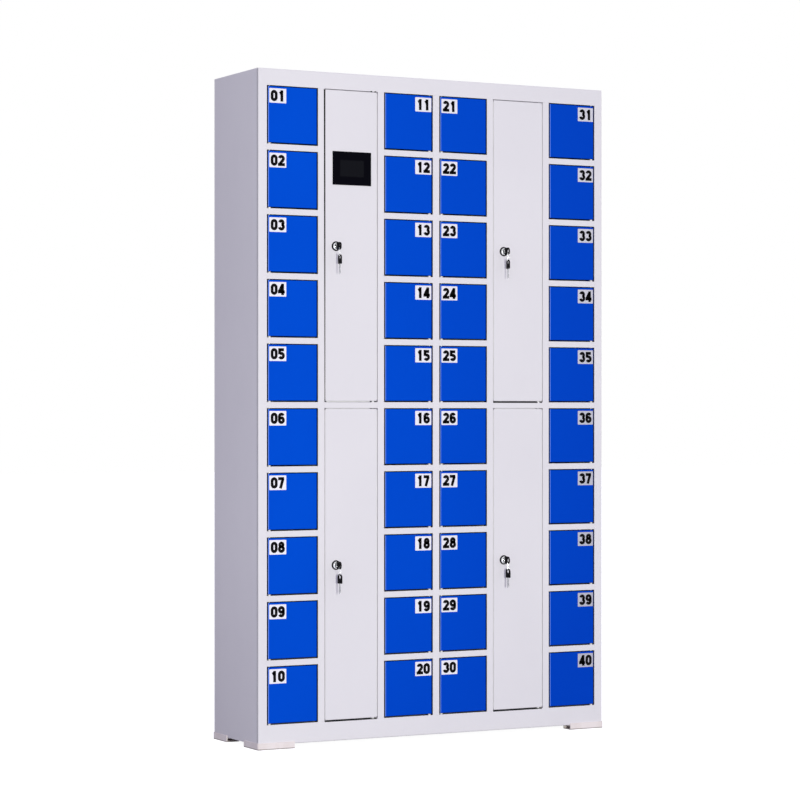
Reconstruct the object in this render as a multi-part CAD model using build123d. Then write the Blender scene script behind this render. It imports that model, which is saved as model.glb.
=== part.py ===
from build123d import *
import os
from collections import namedtuple

# Phone locker cabinet: four columns of ten small numbered compartments, with a service bay
# beside each outer column.  Millimetres, +Z up, doors facing -Y.  Pieces are drawn with the
# face of the doors at y = 0 and the underside of the steel at z = 0, and ROW then sets the
# whole cabinet on the floor, centred on its overall box.

# Steel body
BODY_WIDTH = 1140.0
BODY_DEPTH = 304.0
BODY_HEIGHT = 1906.5
SHEET = 1.2  # carcass steel
SEAM = 0.1  # hairline between neighbouring pieces
PANEL_SEAM = 2.0  # open joint between the frame and the panels behind it
FLANGE = 15.0  # folded edges of the carcass panels
PANEL_BEND = 2.0
PARTITION_FOLD = 10.2  # folded edges of the inner walls

# Front frame, left to right and bottom to top
STILE = 26.5
MULLION = 20.5
CENTRE_MULLION = 21.0
PHONE_WIDTH = 160.5
SERVICE_WIDTH = 171.0
PHONE_HEIGHT = 165.0
CROSSBAR = 17.0
BOTTOM_RAIL = 56.25
ROWS = 10
FRAME_BEND = 3.0  # rounded outer edge of the frame
FRAME_LAP = 6.5  # how far that edge runs back over the carcass
UPRIGHT_RETURN = 18.0
BAR_RETURN = 15.0

# Doors: folded pans, set flush in their openings
DOOR_SHEET = 1.0
DOOR_DEPTH = 16.0
DOOR_EDGE = 1.2  # broken edge round the face
SIDE_GAP = 3.0
TOP_GAP = 2.0
BOTTOM_GAP = 3.5

# Hinges: one rod down each column, through square holes in its doors and bars
ROD_RADIUS = 2.0
ROD_DEPTH = 5.0  # from the face of the doors to the rod's axis
ROD_PLAY = 0.15
ROD_END = 3.0  # how far a rod runs on past the first and last return
PHONE_ROD_INSET = 6.5  # from the door's hinge edge
SERVICE_ROD_INSET = 11.0

# Electric latch of a phone door, and the hook on the door that it holds
HOOK_INSET = 6.0  # from the door's free edge
HOOK_THICKNESS = 2.0
HOOK_REACH = 34.0
HOOK_ARM = 6.0
LATCH_WIDTH = 14.3
LATCH_DEPTH = 42.0
LATCH_HEIGHT = 60.0
LATCH_FRONT = 17.5
MOUTH_WIDTH = 7.5
MOUTH_HEIGHT = 24.0
MOUTH_DEPTH = 24.0
MOUTH_WALL = 2.0

# Cam lock of a service door
LOCK_INSET = 33.5  # from the door's free edge
LOCK_DROP = 2.25  # below the door's middle
BEZEL_RADIUS = 10.0
BEZEL_PROUD = 3.5
SHANK_SIDE = 15.0  # square body behind the bezel
SHANK_LENGTH = 18.0
SHANK_PLAY = 0.2
CLIP_SIDE = 21.0  # plate that holds the lock in the door
CLIP_THICKNESS = 2.5
PLUG_RADIUS = 6.0
PLUG_PLAY = 0.1
CAM_FRONT = 19.0
CAM_THICKNESS = 2.0
CAM_WIDTH = 14.0
CAM_CATCH = 9.0  # how far the turned cam reaches behind the frame
KEYWAY_WIDTH = 2.4
KEYWAY_HEIGHT = 8.6
KEYWAY_DEPTH = 16.0
BLADE_WIDTH = 2.0
BLADE_HEIGHT = 8.0
HEAD_THICKNESS = 7.0
HEAD_HEIGHT = 22.0
HEAD_NECK = 10.0
HEAD_FRONT = 36.6  # reach of the keys in front of the doors
HEAD_BACK = 7.0
HEAD_SLOPE = 4.0  # length over which the head widens from its neck
HEAD_CORNER = 7.0

# Touch screen in the upper left service door
SCREEN_WIDTH = 123.5
SCREEN_HEIGHT = 96.0
SCREEN_PROUD = 1.6
SCREEN_SIDE = 22.5  # from the door's free edge to the bezel
SCREEN_TOP = 174.5  # from the top of the door to the bezel
SCREEN_LAP = 5.0
SCREEN_PLAY = 0.5
SCREEN_BODY_DEPTH = 30.0
DISPLAY_WIDTH = 76.0
DISPLAY_HEIGHT = 47.0
DISPLAY_SINK = 0.4

# Electronics behind the screen, on the back panel
CONTROL_WIDTH = 130.0
CONTROL_HEIGHT = 200.0
CONTROL_DEPTH = 46.0
CONTROL_EDGE = 3.0
SUPPLY_WIDTH = 110.0
SUPPLY_HEIGHT = 110.0
SUPPLY_DEPTH = 38.0
SUPPLY_DROP = 30.0  # below the controller
TERMINALS = 8
TERMINAL_PITCH = 15.0
TERMINAL_GAP = 2.0
TERMINAL_HEIGHT = 14.0
TERMINAL_DEPTH = 34.0

# Moulded corner feet
FOOT_HEIGHT = 13.2
FOOT_LIP = 2.5
FOOT_SKIRT = 6.0
FOOT_FRONT = 115.0
FOOT_SIDE = 95.0
FOOT_BREADTH = 40.0
FOOT_WALL = 3.0
FOOT_CORNER = 5.0

# Sizes that follow from those above
HALF = BODY_WIDTH / 2
PHONE_DOOR_WIDTH = PHONE_WIDTH - 2 * SIDE_GAP
PHONE_DOOR_HEIGHT = PHONE_HEIGHT - TOP_GAP - BOTTOM_GAP
ROW_PITCH = PHONE_HEIGHT + CROSSBAR
SERVICE_HEIGHT = ROWS / 2 * ROW_PITCH - CROSSBAR
SERVICE_DOOR_WIDTH = SERVICE_WIDTH - 2 * SIDE_GAP
SERVICE_DOOR_HEIGHT = SERVICE_HEIGHT - TOP_GAP - BOTTOM_GAP
OPENING_TOP = BOTTOM_RAIL + ROWS * ROW_PITCH - CROSSBAR
BACK_FRONT = BODY_DEPTH - 2 * SHEET - SEAM  # front of the back panel
INNER_BACK = BACK_FRONT - 2 * SEAM  # where the shelves and partitions end
ROW = Pos(0, (HEAD_FRONT - BODY_DEPTH - FOOT_LIP) / 2, FOOT_HEIGHT)

Column = namedtuple("Column", "kind left right hinge")


def column_plan():
    """The six openings from left to right, each with its edges and its hinge side."""
    plan = [
        ("phone", STILE, "left"),
        ("service", MULLION, "right"),
        ("phone", MULLION, "right"),
        ("phone", CENTRE_MULLION, "left"),
        ("service", MULLION, "right"),
        ("phone", MULLION, "right"),
    ]
    columns = []
    edge = -HALF
    for kind, upright, hinge in plan:
        left = edge + upright
        edge = left + (PHONE_WIDTH if kind == "phone" else SERVICE_WIDTH)
        columns.append(Column(kind, left, edge, hinge))
    return columns


COLUMNS = column_plan()
PHONE_COLUMNS = [column for column in COLUMNS if column.kind == "phone"]
SERVICE_COLUMNS = [column for column in COLUMNS if column.kind == "service"]


def block(x, y, z):
    """A rectangular block between two values on each axis."""
    corner = Pos(x[0], y[0], z[0])
    return corner * Box(x[1] - x[0], y[1] - y[0], z[1] - z[0], align=(Align.MIN,) * 3)


def folded(points, run, rounded=None, bend=0.0):
    """Sheet folded along points, which mark its outer face, and run on along +Z.

    The fold at the point named rounded has an outside radius of bend, and the others are sharp.
    """
    outline = Polyline(*points).offset_2d(SHEET, kind=Kind.INTERSECTION, side=Side.LEFT, closed=True)
    section = make_face(outline)
    if rounded:
        inner = section.vertices().sort_by_distance(rounded)[1]
        section = fillet(inner, bend - SHEET)
        outer = section.vertices().sort_by_distance(rounded)[0]
        section = fillet(outer, bend)
    return extrude(section, amount=run)


def along_x(shape, start):
    """Turns a shape drawn in (y, z) and run along its own Z so that it runs along +X."""
    return Pos(start, 0, 0) * Plane.YZ.location * shape


def along_y(shape, end):
    """Turns a shape drawn in (x, z) and run along its own Z so that it ends at y = end."""
    return Pos(0, end, 0) * Plane.XZ.location * shape


def at_hinge(shape, column, level):
    """Puts a piece drawn from x = 0 at the hinge side of a column's opening."""
    if column.hinge == "left":
        return Pos(column.left, 0, level) * shape
    return Pos(column.right, 0, level) * mirror(shape, about=Plane.YZ)


def upside_down(shape):
    """The same piece at the other end of the body's height."""
    return mirror(shape, about=Plane.XY.offset(BODY_HEIGHT / 2))


# Front frame


def stile():
    """Left upright, rounded round the front corner and mitred to the rails."""
    corner = (-HALF, 0)
    points = [(-HALF, FRAME_LAP), corner, (-HALF + STILE, 0), (-HALF + STILE, UPRIGHT_RETURN)]
    post = folded(points, BODY_HEIGHT, corner, FRAME_BEND)
    inner, low = -HALF + 2 * STILE, BODY_HEIGHT - 2 * STILE
    wedge = Polyline((-HALF, BODY_HEIGHT), (inner, BODY_HEIGHT), (inner, low), close=True)
    mitre = along_y(extrude(make_face(wedge), amount=2 * UPRIGHT_RETURN), UPRIGHT_RETURN + 1)
    return post - mitre - upside_down(mitre)


def corner_post():
    """The space at the top left corner that a rail leaves to its stile."""
    inner = -HALF + STILE + SEAM
    outline = Polyline(
        (-HALF - SEAM, BODY_HEIGHT),
        (inner, BODY_HEIGHT - STILE - 2 * SEAM),
        (inner, BODY_HEIGHT / 2),
        (-HALF - SEAM, BODY_HEIGHT / 2),
        close=True,
    )
    return along_y(extrude(make_face(outline), amount=2 * UPRIGHT_RETURN), UPRIGHT_RETURN + 1)


def rod_inset(column):
    """Distance of a column's hinge rod from the hinge edge of its doors."""
    return PHONE_ROD_INSET if column.kind == "phone" else SERVICE_ROD_INSET


def rod_hole(inset):
    """Square punch round the hinge rod of an opening, drawn from the opening's hinge side."""
    side = ROD_RADIUS + ROD_PLAY
    middle = SIDE_GAP + inset
    height = (-BODY_HEIGHT, BODY_HEIGHT)
    return block((middle - side, middle + side), (ROD_DEPTH - side, ROD_DEPTH + side), height)


def hinge_rods():
    """The six rods, each with its ends just past the returns of the two rails."""
    length = OPENING_TOP - BOTTOM_RAIL + 2 * (SHEET + ROD_END)
    rod = Cylinder(ROD_RADIUS, length, align=(Align.CENTER, Align.CENTER, Align.MIN))
    rods = []
    for column in COLUMNS:
        across = SIDE_GAP + rod_inset(column)
        rods.append(at_hinge(Pos(across, ROD_DEPTH, -SHEET - ROD_END) * rod, column, BOTTOM_RAIL))
    return rods


def rail(height):
    """Top rail: its upper edge rounded, its lower return punched for the hinge rods."""
    low = BODY_HEIGHT - height
    corner = (0, BODY_HEIGHT)
    points = [(FRAME_LAP, BODY_HEIGHT), corner, (0, low), (BAR_RETURN, low)]
    bar = along_x(folded(points, BODY_WIDTH, corner, FRAME_BEND), -HALF)
    post = corner_post()
    bar = bar - post - mirror(post, about=Plane.YZ)
    for column in COLUMNS:
        bar -= at_hinge(rod_hole(rod_inset(column)), column, low - BODY_HEIGHT + FLANGE)
    return bar


def mullion(left, width):
    """Upright between two openings, folded back at both edges."""
    points = [(left, UPRIGHT_RETURN), (left, 0), (left + width, 0), (left + width, UPRIGHT_RETURN)]
    return Pos(0, 0, BOTTOM_RAIL + SEAM) * folded(points, OPENING_TOP - BOTTOM_RAIL - 2 * SEAM)


def front_frame():
    """Two stiles, two rails, five mullions and the bar between each pair of service doors."""
    left_stile = stile()
    pieces = [left_stile, mirror(left_stile, about=Plane.YZ)]
    pieces += [rail(BODY_HEIGHT - OPENING_TOP), upside_down(rail(BOTTOM_RAIL))]
    for column, following in zip(COLUMNS, COLUMNS[1:]):
        pieces.append(mullion(column.right, following.left - column.right))
    middle = BOTTOM_RAIL + SERVICE_HEIGHT + CROSSBAR
    for column in SERVICE_COLUMNS:
        points = [(BAR_RETURN, 0), (0, 0), (0, -CROSSBAR), (BAR_RETURN, -CROSSBAR)]
        bar = along_x(folded(points, SERVICE_WIDTH - 2 * SEAM), SEAM) - rod_hole(SERVICE_ROD_INSET)
        pieces.append(at_hinge(bar, column, middle))
    return pieces


# Carcass


def side_panel():
    """Left side: a flat sheet with its rear edge folded inwards."""
    corner = (-HALF, BODY_DEPTH)
    points = [(-HALF + FLANGE, BODY_DEPTH), corner, (-HALF, FRAME_LAP + PANEL_SEAM)]
    return folded(points, BODY_HEIGHT, corner, PANEL_BEND)


def top_panel():
    """Lid between the side panels, with its side and rear edges folded down."""
    half = HALF - SHEET - SEAM
    low = BODY_HEIGHT - FLANGE
    points = [(half, low), (half, BODY_HEIGHT), (-half, BODY_HEIGHT), (-half, low)]
    front = FRAME_LAP + PANEL_SEAM
    tray = along_y(folded(points, INNER_BACK - front), INNER_BACK)
    rear_half = HALF - FLANGE - SEAM
    width = (-rear_half, rear_half)
    ledge = block(width, (INNER_BACK - 1, BODY_DEPTH), (BODY_HEIGHT - SHEET, BODY_HEIGHT))
    hem = block(width, (BODY_DEPTH - SHEET, BODY_DEPTH), (low, BODY_HEIGHT))
    return tray + ledge + hem


def back_panel():
    """Flat sheet inside the folded rear edges of the other panels."""
    half = HALF - PANEL_BEND - SEAM
    edge = SHEET + SEAM
    return block((-half, half), (BACK_FRONT, BACK_FRONT + SHEET), (edge, BODY_HEIGHT - edge))


def partition(column, side):
    """Wall of a phone column, folded away from the compartments at its front and back."""
    front, tip = UPRIGHT_RETURN + 2 * SEAM, PARTITION_FOLD
    points = [(tip, INNER_BACK), (0, INNER_BACK), (0, front), (tip, front)]
    wall = folded(points, BODY_HEIGHT - 2 * (SHEET + SEAM))
    if side == "left":
        return Pos(column.left, 0, SHEET + SEAM) * mirror(wall, about=Plane.YZ)
    return Pos(column.right, 0, SHEET + SEAM) * wall


def shelf():
    """Floor of a compartment, folded down at the front as the bar between two doors."""
    points = [(INNER_BACK, 0), (0, 0), (0, -CROSSBAR), (BAR_RETURN, -CROSSBAR)]
    return along_x(folded(points, PHONE_WIDTH - 2 * SEAM), SEAM) - rod_hole(PHONE_ROD_INSET)


def lowest_floor():
    """Floor of the bottom compartment, level with the return of the bottom rail."""
    return block((SEAM, PHONE_WIDTH - SEAM), (BAR_RETURN + SEAM, INNER_BACK), (-SHEET, 0))


def column_partitions():
    """The two walls of each phone column."""
    return [partition(column, side) for column in PHONE_COLUMNS for side in ("left", "right")]


def compartment_shelves():
    """Ten floors in each phone column."""
    pieces = []
    for column in PHONE_COLUMNS:
        pieces.append(at_hinge(lowest_floor(), column, BOTTOM_RAIL))
        for row in range(1, ROWS):
            pieces.append(at_hinge(shelf(), column, BOTTOM_RAIL + row * ROW_PITCH))
    return pieces


# Doors


def door_pan(width, height, inset):
    """Left-hung door: a sheet folded back all round and punched for its hinge rod."""
    pan = block((0, width), (0, DOOR_DEPTH), (0, height))
    pan = chamfer(pan.faces().sort_by(Axis.Y)[0].edges(), DOOR_EDGE)
    inner_x = (DOOR_SHEET, width - DOOR_SHEET)
    inner_z = (DOOR_SHEET, height - DOOR_SHEET)
    pan -= block(inner_x, (DOOR_SHEET, DOOR_DEPTH + 1), inner_z)
    return pan - Pos(-SIDE_GAP, 0, 0) * rod_hole(inset)


def phone_door():
    """Left-hung phone door, and the hook behind it that its latch holds."""
    pan = door_pan(PHONE_DOOR_WIDTH, PHONE_DOOR_HEIGHT, PHONE_ROD_INSET)
    root, tip, shoulder = DOOR_SHEET + SEAM, HOOK_REACH, HOOK_REACH - HOOK_ARM
    lower = [(root, 0), (root, -HOOK_ARM), (tip, -HOOK_ARM)]
    upper = [(tip, HOOK_ARM), (shoulder, HOOK_ARM), (shoulder, 0)]
    plate = extrude(make_face(Polyline(*lower, *upper, close=True)), amount=HOOK_THICKNESS)
    start = PHONE_DOOR_WIDTH - HOOK_INSET - HOOK_THICKNESS
    return [pan, Pos(0, 0, PHONE_DOOR_HEIGHT / 2) * along_x(plate, start)]


def service_door(screen=False):
    """Left-hung service door: a tall pan, cut for its lock and, if asked, for the screen."""
    width, height = SERVICE_DOOR_WIDTH, SERVICE_DOOR_HEIGHT
    pan = door_pan(width, height, SERVICE_ROD_INSET)
    side = SHANK_SIDE / 2 + SHANK_PLAY
    pan -= lock_place(block((-side, side), (-1, DOOR_SHEET + 1), (-side, side)))
    if screen:
        cut_x = (width - SCREEN_SIDE - SCREEN_WIDTH + SCREEN_LAP, width - SCREEN_SIDE - SCREEN_LAP)
        top = height - SCREEN_TOP
        cut_z = (top - SCREEN_HEIGHT + SCREEN_LAP, top - SCREEN_LAP)
        pan -= block(cut_x, (-1, DOOR_SHEET + 1), cut_z)
    return pan


def lock_place(shape):
    """Moves a piece drawn round the lock's axis to its place on a left-hung service door."""
    return Pos(SERVICE_DOOR_WIDTH - LOCK_INSET, 0, SERVICE_DOOR_HEIGHT / 2 - LOCK_DROP) * shape


def lock_body():
    """Fixed part of the lock: round bezel, square shank and the plate behind the door sheet."""
    bezel = along_y(extrude(Circle(BEZEL_RADIUS), BEZEL_PROUD - SEAM), -SEAM)
    shank, plate = SHANK_SIDE / 2, CLIP_SIDE / 2
    clip_y = (DOOR_SHEET + SEAM, DOOR_SHEET + SEAM + CLIP_THICKNESS)
    body = bezel + block((-shank, shank), (-1, SHANK_LENGTH), (-shank, shank))
    body += block((-plate, plate), clip_y, (-plate, plate))
    bore = extrude(Circle(PLUG_RADIUS + PLUG_PLAY), BEZEL_PROUD + SHANK_LENGTH + 2)
    return body - along_y(bore, SHANK_LENGTH + 1)


def lock_plug():
    """Turning part of the lock: the keyed plug and, hanging from it, the cam."""
    end = CAM_FRONT + CAM_THICKNESS
    plug = along_y(extrude(Circle(PLUG_RADIUS), BEZEL_PROUD + end), end)
    keyway_x = (-KEYWAY_WIDTH / 2, KEYWAY_WIDTH / 2)
    keyway_z = (-KEYWAY_HEIGHT / 2, KEYWAY_HEIGHT / 2)
    plug -= block(keyway_x, (-BEZEL_PROUD - 1, KEYWAY_DEPTH - BEZEL_PROUD), keyway_z)
    hub, tip = CAM_WIDTH / 2, CAM_WIDTH / 4
    reach = LOCK_INSET + SIDE_GAP + CAM_CATCH
    right = [(tip, hub), (hub, tip), (hub, -reach / 2), (tip, -reach)]
    left = [(-x, z) for x, z in reversed(right)]
    cam = make_face(Polyline(*right, *left, close=True))
    return plug + along_y(extrude(cam, amount=CAM_THICKNESS), end)


def key():
    """Key left in the lock: a flat blade in the keyway and a moulded head."""
    blade_end = KEYWAY_DEPTH - BEZEL_PROUD - SEAM
    side = BLADE_WIDTH / 2
    blade = block((-side, side), (-HEAD_BACK - 1, blade_end), (-BLADE_HEIGHT / 2, BLADE_HEIGHT / 2))
    shoulder, half = -HEAD_BACK - HEAD_SLOPE, HEAD_HEIGHT / 2
    upper = [(-HEAD_FRONT, half), (shoulder, half), (-HEAD_BACK, HEAD_NECK / 2)]
    lower = [(y, -z) for y, z in reversed(upper)]
    head = extrude(make_face(Polyline(*upper, *lower, close=True)), HEAD_THICKNESS)
    head = fillet(head.edges().filter_by(Axis.Z).group_by(Axis.X)[0], HEAD_CORNER)
    return blade + along_x(head, -HEAD_THICKNESS / 2)


def touch_screen():
    """Framed panel on the door's face, with its body through the door."""
    plate = extrude(Rectangle(SCREEN_WIDTH, SCREEN_HEIGHT), SCREEN_PROUD)
    plate = chamfer(plate.edges().group_by(Axis.Z)[-1], SCREEN_PROUD / 2)
    plate -= Pos(0, 0, SCREEN_PROUD - DISPLAY_SINK) * extrude(Rectangle(DISPLAY_WIDTH, DISPLAY_HEIGHT), 1)
    lap = 2 * (SCREEN_LAP + SCREEN_PLAY)
    body = extrude(Rectangle(SCREEN_WIDTH - lap, SCREEN_HEIGHT - lap), -SCREEN_BODY_DEPTH)
    across = SERVICE_DOOR_WIDTH - SCREEN_SIDE - SCREEN_WIDTH / 2
    up = SERVICE_DOOR_HEIGHT - SCREEN_TOP - SCREEN_HEIGHT / 2
    return Pos(across, -SEAM, up) * Plane.XZ.location * (plate + body)


# Inside


def latch_unit():
    """Electric latch on the wall of a compartment, with a pocket for the door's hook."""
    wall, middle = PHONE_WIDTH - SEAM, BOTTOM_GAP + PHONE_DOOR_HEIGHT / 2
    unit_z = (middle - LATCH_HEIGHT / 2, middle + LATCH_HEIGHT / 2)
    unit = block((wall - LATCH_WIDTH, wall), (LATCH_FRONT, LATCH_FRONT + LATCH_DEPTH), unit_z)
    mouth = wall - LATCH_WIDTH + MOUTH_WALL
    mouth_y = (LATCH_FRONT - 1, LATCH_FRONT + MOUTH_DEPTH)
    mouth_z = (middle - MOUTH_HEIGHT / 2, middle + MOUTH_HEIGHT / 2)
    return unit - block((mouth, mouth + MOUTH_WIDTH), mouth_y, mouth_z)


def latch_units():
    """One latch unit in each compartment."""
    unit = latch_unit()
    levels = [BOTTOM_RAIL + row * ROW_PITCH for row in range(ROWS)]
    return [at_hinge(unit, column, level) for column in PHONE_COLUMNS for level in levels]


def control_unit():
    """Controller box, the terminal block under it and the power supply below that."""
    half, back = CONTROL_WIDTH / 2, INNER_BACK - SEAM
    box = block((-half, half), (back - CONTROL_DEPTH, back), (0, CONTROL_HEIGHT))
    pieces = [chamfer(box.faces().sort_by(Axis.Y)[0].edges(), CONTROL_EDGE)]
    half, top = SUPPLY_WIDTH / 2, -SUPPLY_DROP
    pieces.append(block((-half, half), (back - SUPPLY_DEPTH, back), (top - SUPPLY_HEIGHT, top)))
    start = -TERMINALS * TERMINAL_PITCH / 2
    for number in range(TERMINALS):
        left = start + number * TERMINAL_PITCH
        right = left + TERMINAL_PITCH - TERMINAL_GAP
        pieces.append(block((left, right), (back - TERMINAL_DEPTH, back), (-TERMINAL_HEIGHT, -SEAM)))
    column = SERVICE_COLUMNS[0]
    middle = (column.left + column.right) / 2
    level = OPENING_TOP - SCREEN_TOP - SCREEN_HEIGHT - CONTROL_HEIGHT
    return [Pos(middle, 0, level) * piece for piece in pieces]


# Feet


def corner_foot():
    """Moulded shoe for the front left corner: a hollow L-shaped pad and a skirt round the steel."""
    left, front = -HALF - FOOT_LIP, -FOOT_LIP
    pad = block((left, left + FOOT_FRONT), (front, front + FOOT_BREADTH), (-FOOT_HEIGHT, FOOT_SKIRT))
    pad += block((left, left + FOOT_BREADTH), (front, front + FOOT_SIDE), (-FOOT_HEIGHT, FOOT_SKIRT))
    outer_edges = pad.edges().filter_by(Axis.Z).group_by(Axis.X)[0]
    pad = fillet(outer_edges.sort_by(Axis.Y)[0], FOOT_CORNER)
    seat = block((-HALF - SEAM, 0), (-SEAM, BODY_DEPTH), (-SEAM, FOOT_SKIRT + 1))
    top, bottom = -SEAM - FOOT_WALL, -FOOT_HEIGHT + FOOT_WALL
    inner_x = (left + FOOT_WALL, left + FOOT_BREADTH - FOOT_WALL)
    inner_y = (front + FOOT_WALL, front + FOOT_BREADTH - FOOT_WALL)
    channel = block((inner_x[0], left + FOOT_FRONT + 1), inner_y, (bottom, top))
    channel += block(inner_x, (inner_y[0], front + FOOT_SIDE + 1), (bottom, top))
    return pad - seat - channel


def corner_feet():
    """The shoe at all four corners."""
    front_left = corner_foot()
    rear_left = mirror(front_left, about=Plane.XZ.offset(-BODY_DEPTH / 2))
    left = [front_left, rear_left]
    return left + [mirror(foot, about=Plane.YZ) for foot in left]


# Writing the pieces


def write(name, pieces):
    """One STEP file for a node, moved to the cabinet's own frame."""
    solids = [ROW * solid for piece in pieces for solid in piece.solids()]
    export_step(solids[0] if len(solids) == 1 else Compound(solids), f"parts/{name}.step")


def write_doors(name, column, level, pieces):
    """One door of a column, from pieces drawn with the door's lower hinge corner at the origin."""
    write(name, [at_hinge(Pos(SIDE_GAP, 0, 0) * piece, column, level + BOTTOM_GAP) for piece in pieces])


def write_phone_doors():
    """Doors 01 to 40, counted down each column and then to the right."""
    door = phone_door()
    number = 0
    for column in PHONE_COLUMNS:
        for row in reversed(range(ROWS)):
            number += 1
            write_doors(f"phone_door_{number:02d}", column, BOTTOM_RAIL + row * ROW_PITCH, door)


def write_service_doors():
    """The four service doors with their locks, and the screen in the first."""
    fixed_lock, turning_lock = [lock_place(lock_body())], [lock_place(lock_plug()), lock_place(key())]
    upper = BOTTOM_RAIL + SERVICE_HEIGHT + CROSSBAR
    for side, column in zip(("left", "right"), SERVICE_COLUMNS):
        for storey, level in (("upper", upper), ("lower", BOTTOM_RAIL)):
            has_screen = (side, storey) == ("left", "upper")
            door = [service_door(has_screen)] + fixed_lock
            write_doors(f"service_door_{storey}_{side}", column, level, door)
            write_doors(f"lock_plug_{storey}_{side}", column, level, turning_lock)
    write_doors("touch_screen", SERVICE_COLUMNS[0], upper, [touch_screen()])


def main():
    """Builds every piece of the cabinet and writes it."""
    os.makedirs("parts", exist_ok=True)
    left_side, lid = side_panel(), top_panel()
    write("front_frame", front_frame())
    write("hinge_rods", hinge_rods())
    write("side_panels", [left_side, mirror(left_side, about=Plane.YZ)])
    write("top_panel", [lid])
    write("base_panel", [upside_down(lid)])
    write("back_panel", [back_panel()])
    write("column_partitions", column_partitions())
    write("compartment_shelves", compartment_shelves())
    write("latch_units", latch_units())
    write("control_unit", control_unit())
    write("corner_feet", corner_feet())
    write_phone_doors()
    write_service_doors()


main()
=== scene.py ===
"""Looks of a phone locker cabinet.

Painted steel, forty numbered doors, four cam locks with their keys, a touch screen and moulded
feet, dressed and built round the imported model.
"""
from __future__ import annotations

import logging
import math
from dataclasses import dataclass
from enum import Enum
from typing import Iterable, Optional, Sequence, Union

import bmesh
import bpy
from mathutils import Matrix, Vector


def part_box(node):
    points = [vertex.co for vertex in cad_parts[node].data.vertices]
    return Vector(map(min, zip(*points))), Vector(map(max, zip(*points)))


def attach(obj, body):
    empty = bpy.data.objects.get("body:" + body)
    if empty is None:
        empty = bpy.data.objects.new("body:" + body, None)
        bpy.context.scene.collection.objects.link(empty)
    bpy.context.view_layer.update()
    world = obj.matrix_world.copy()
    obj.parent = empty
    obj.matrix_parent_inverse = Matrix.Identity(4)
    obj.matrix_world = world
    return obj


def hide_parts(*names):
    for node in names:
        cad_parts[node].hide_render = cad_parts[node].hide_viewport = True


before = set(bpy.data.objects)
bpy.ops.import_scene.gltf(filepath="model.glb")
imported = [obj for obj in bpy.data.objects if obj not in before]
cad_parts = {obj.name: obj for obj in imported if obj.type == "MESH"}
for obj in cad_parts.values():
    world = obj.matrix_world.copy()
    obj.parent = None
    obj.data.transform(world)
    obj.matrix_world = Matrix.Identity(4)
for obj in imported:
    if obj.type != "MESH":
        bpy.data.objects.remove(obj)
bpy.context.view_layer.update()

LOG = logging.getLogger("cabinet")
MM = 0.001
Display = tuple[float, float, float]
Point = tuple[float, float]
Colour = tuple[float, float, float, float]
WHITE: Colour = (1.0, 1.0, 1.0, 1.0)
# Pieces are drawn flat, with their fronts towards +Z, and this stands them up to face -Y.
STANDING = Matrix.Rotation(math.radians(90), 4, "X")


def linear(colour: Display) -> Colour:
    """Turns a display colour into the linear one that a shader takes.

    Args:
        colour: red, green and blue from 0 to 255.

    Returns:
        The same colour, linear, with an alpha of 1.
    """
    levels = []
    for level in colour:
        share = level / 255
        levels.append(share / 12.92 if share <= 0.04045 else ((share + 0.055) / 1.055) ** 2.4)
    return levels[0], levels[1], levels[2], 1.0


def verts_in(items: Iterable[object]) -> list[bmesh.types.BMVert]:
    """The vertices among the things that an operator made."""
    return [item for item in items if isinstance(item, bmesh.types.BMVert)]


def spread(low: float, high: float, margin: float, count: int) -> list[float]:
    """Spaces places evenly.

    Args:
        low: where their range starts.
        high: where it ends.
        margin: how far from both ends the outer places are.
        count: how many places there are.

    Returns:
        The places.
    """
    step = (high - low - 2 * margin) / (count - 1)
    return [low + margin + place * step for place in range(count)]


def placed(name: str, data: bpy.types.ID) -> bpy.types.Object:
    """Puts a new object in the scene.

    Args:
        name: its name.
        data: the mesh, the camera or the lamp that it shows.

    Returns:
        The object, at the origin.
    """
    made = bpy.data.objects.new(name, data)
    bpy.context.scene.collection.objects.link(made)
    return made


def settled(holder: bpy.types.Object) -> bpy.types.Mesh:
    """Applies an object's modifiers.

    Args:
        holder: the object, which is removed.

    Returns:
        The mesh that they make.
    """
    view = bpy.context.evaluated_depsgraph_get()
    mesh = bpy.data.meshes.new_from_object(holder.evaluated_get(view))
    bpy.data.objects.remove(holder)
    return mesh


# Shader maths


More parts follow.
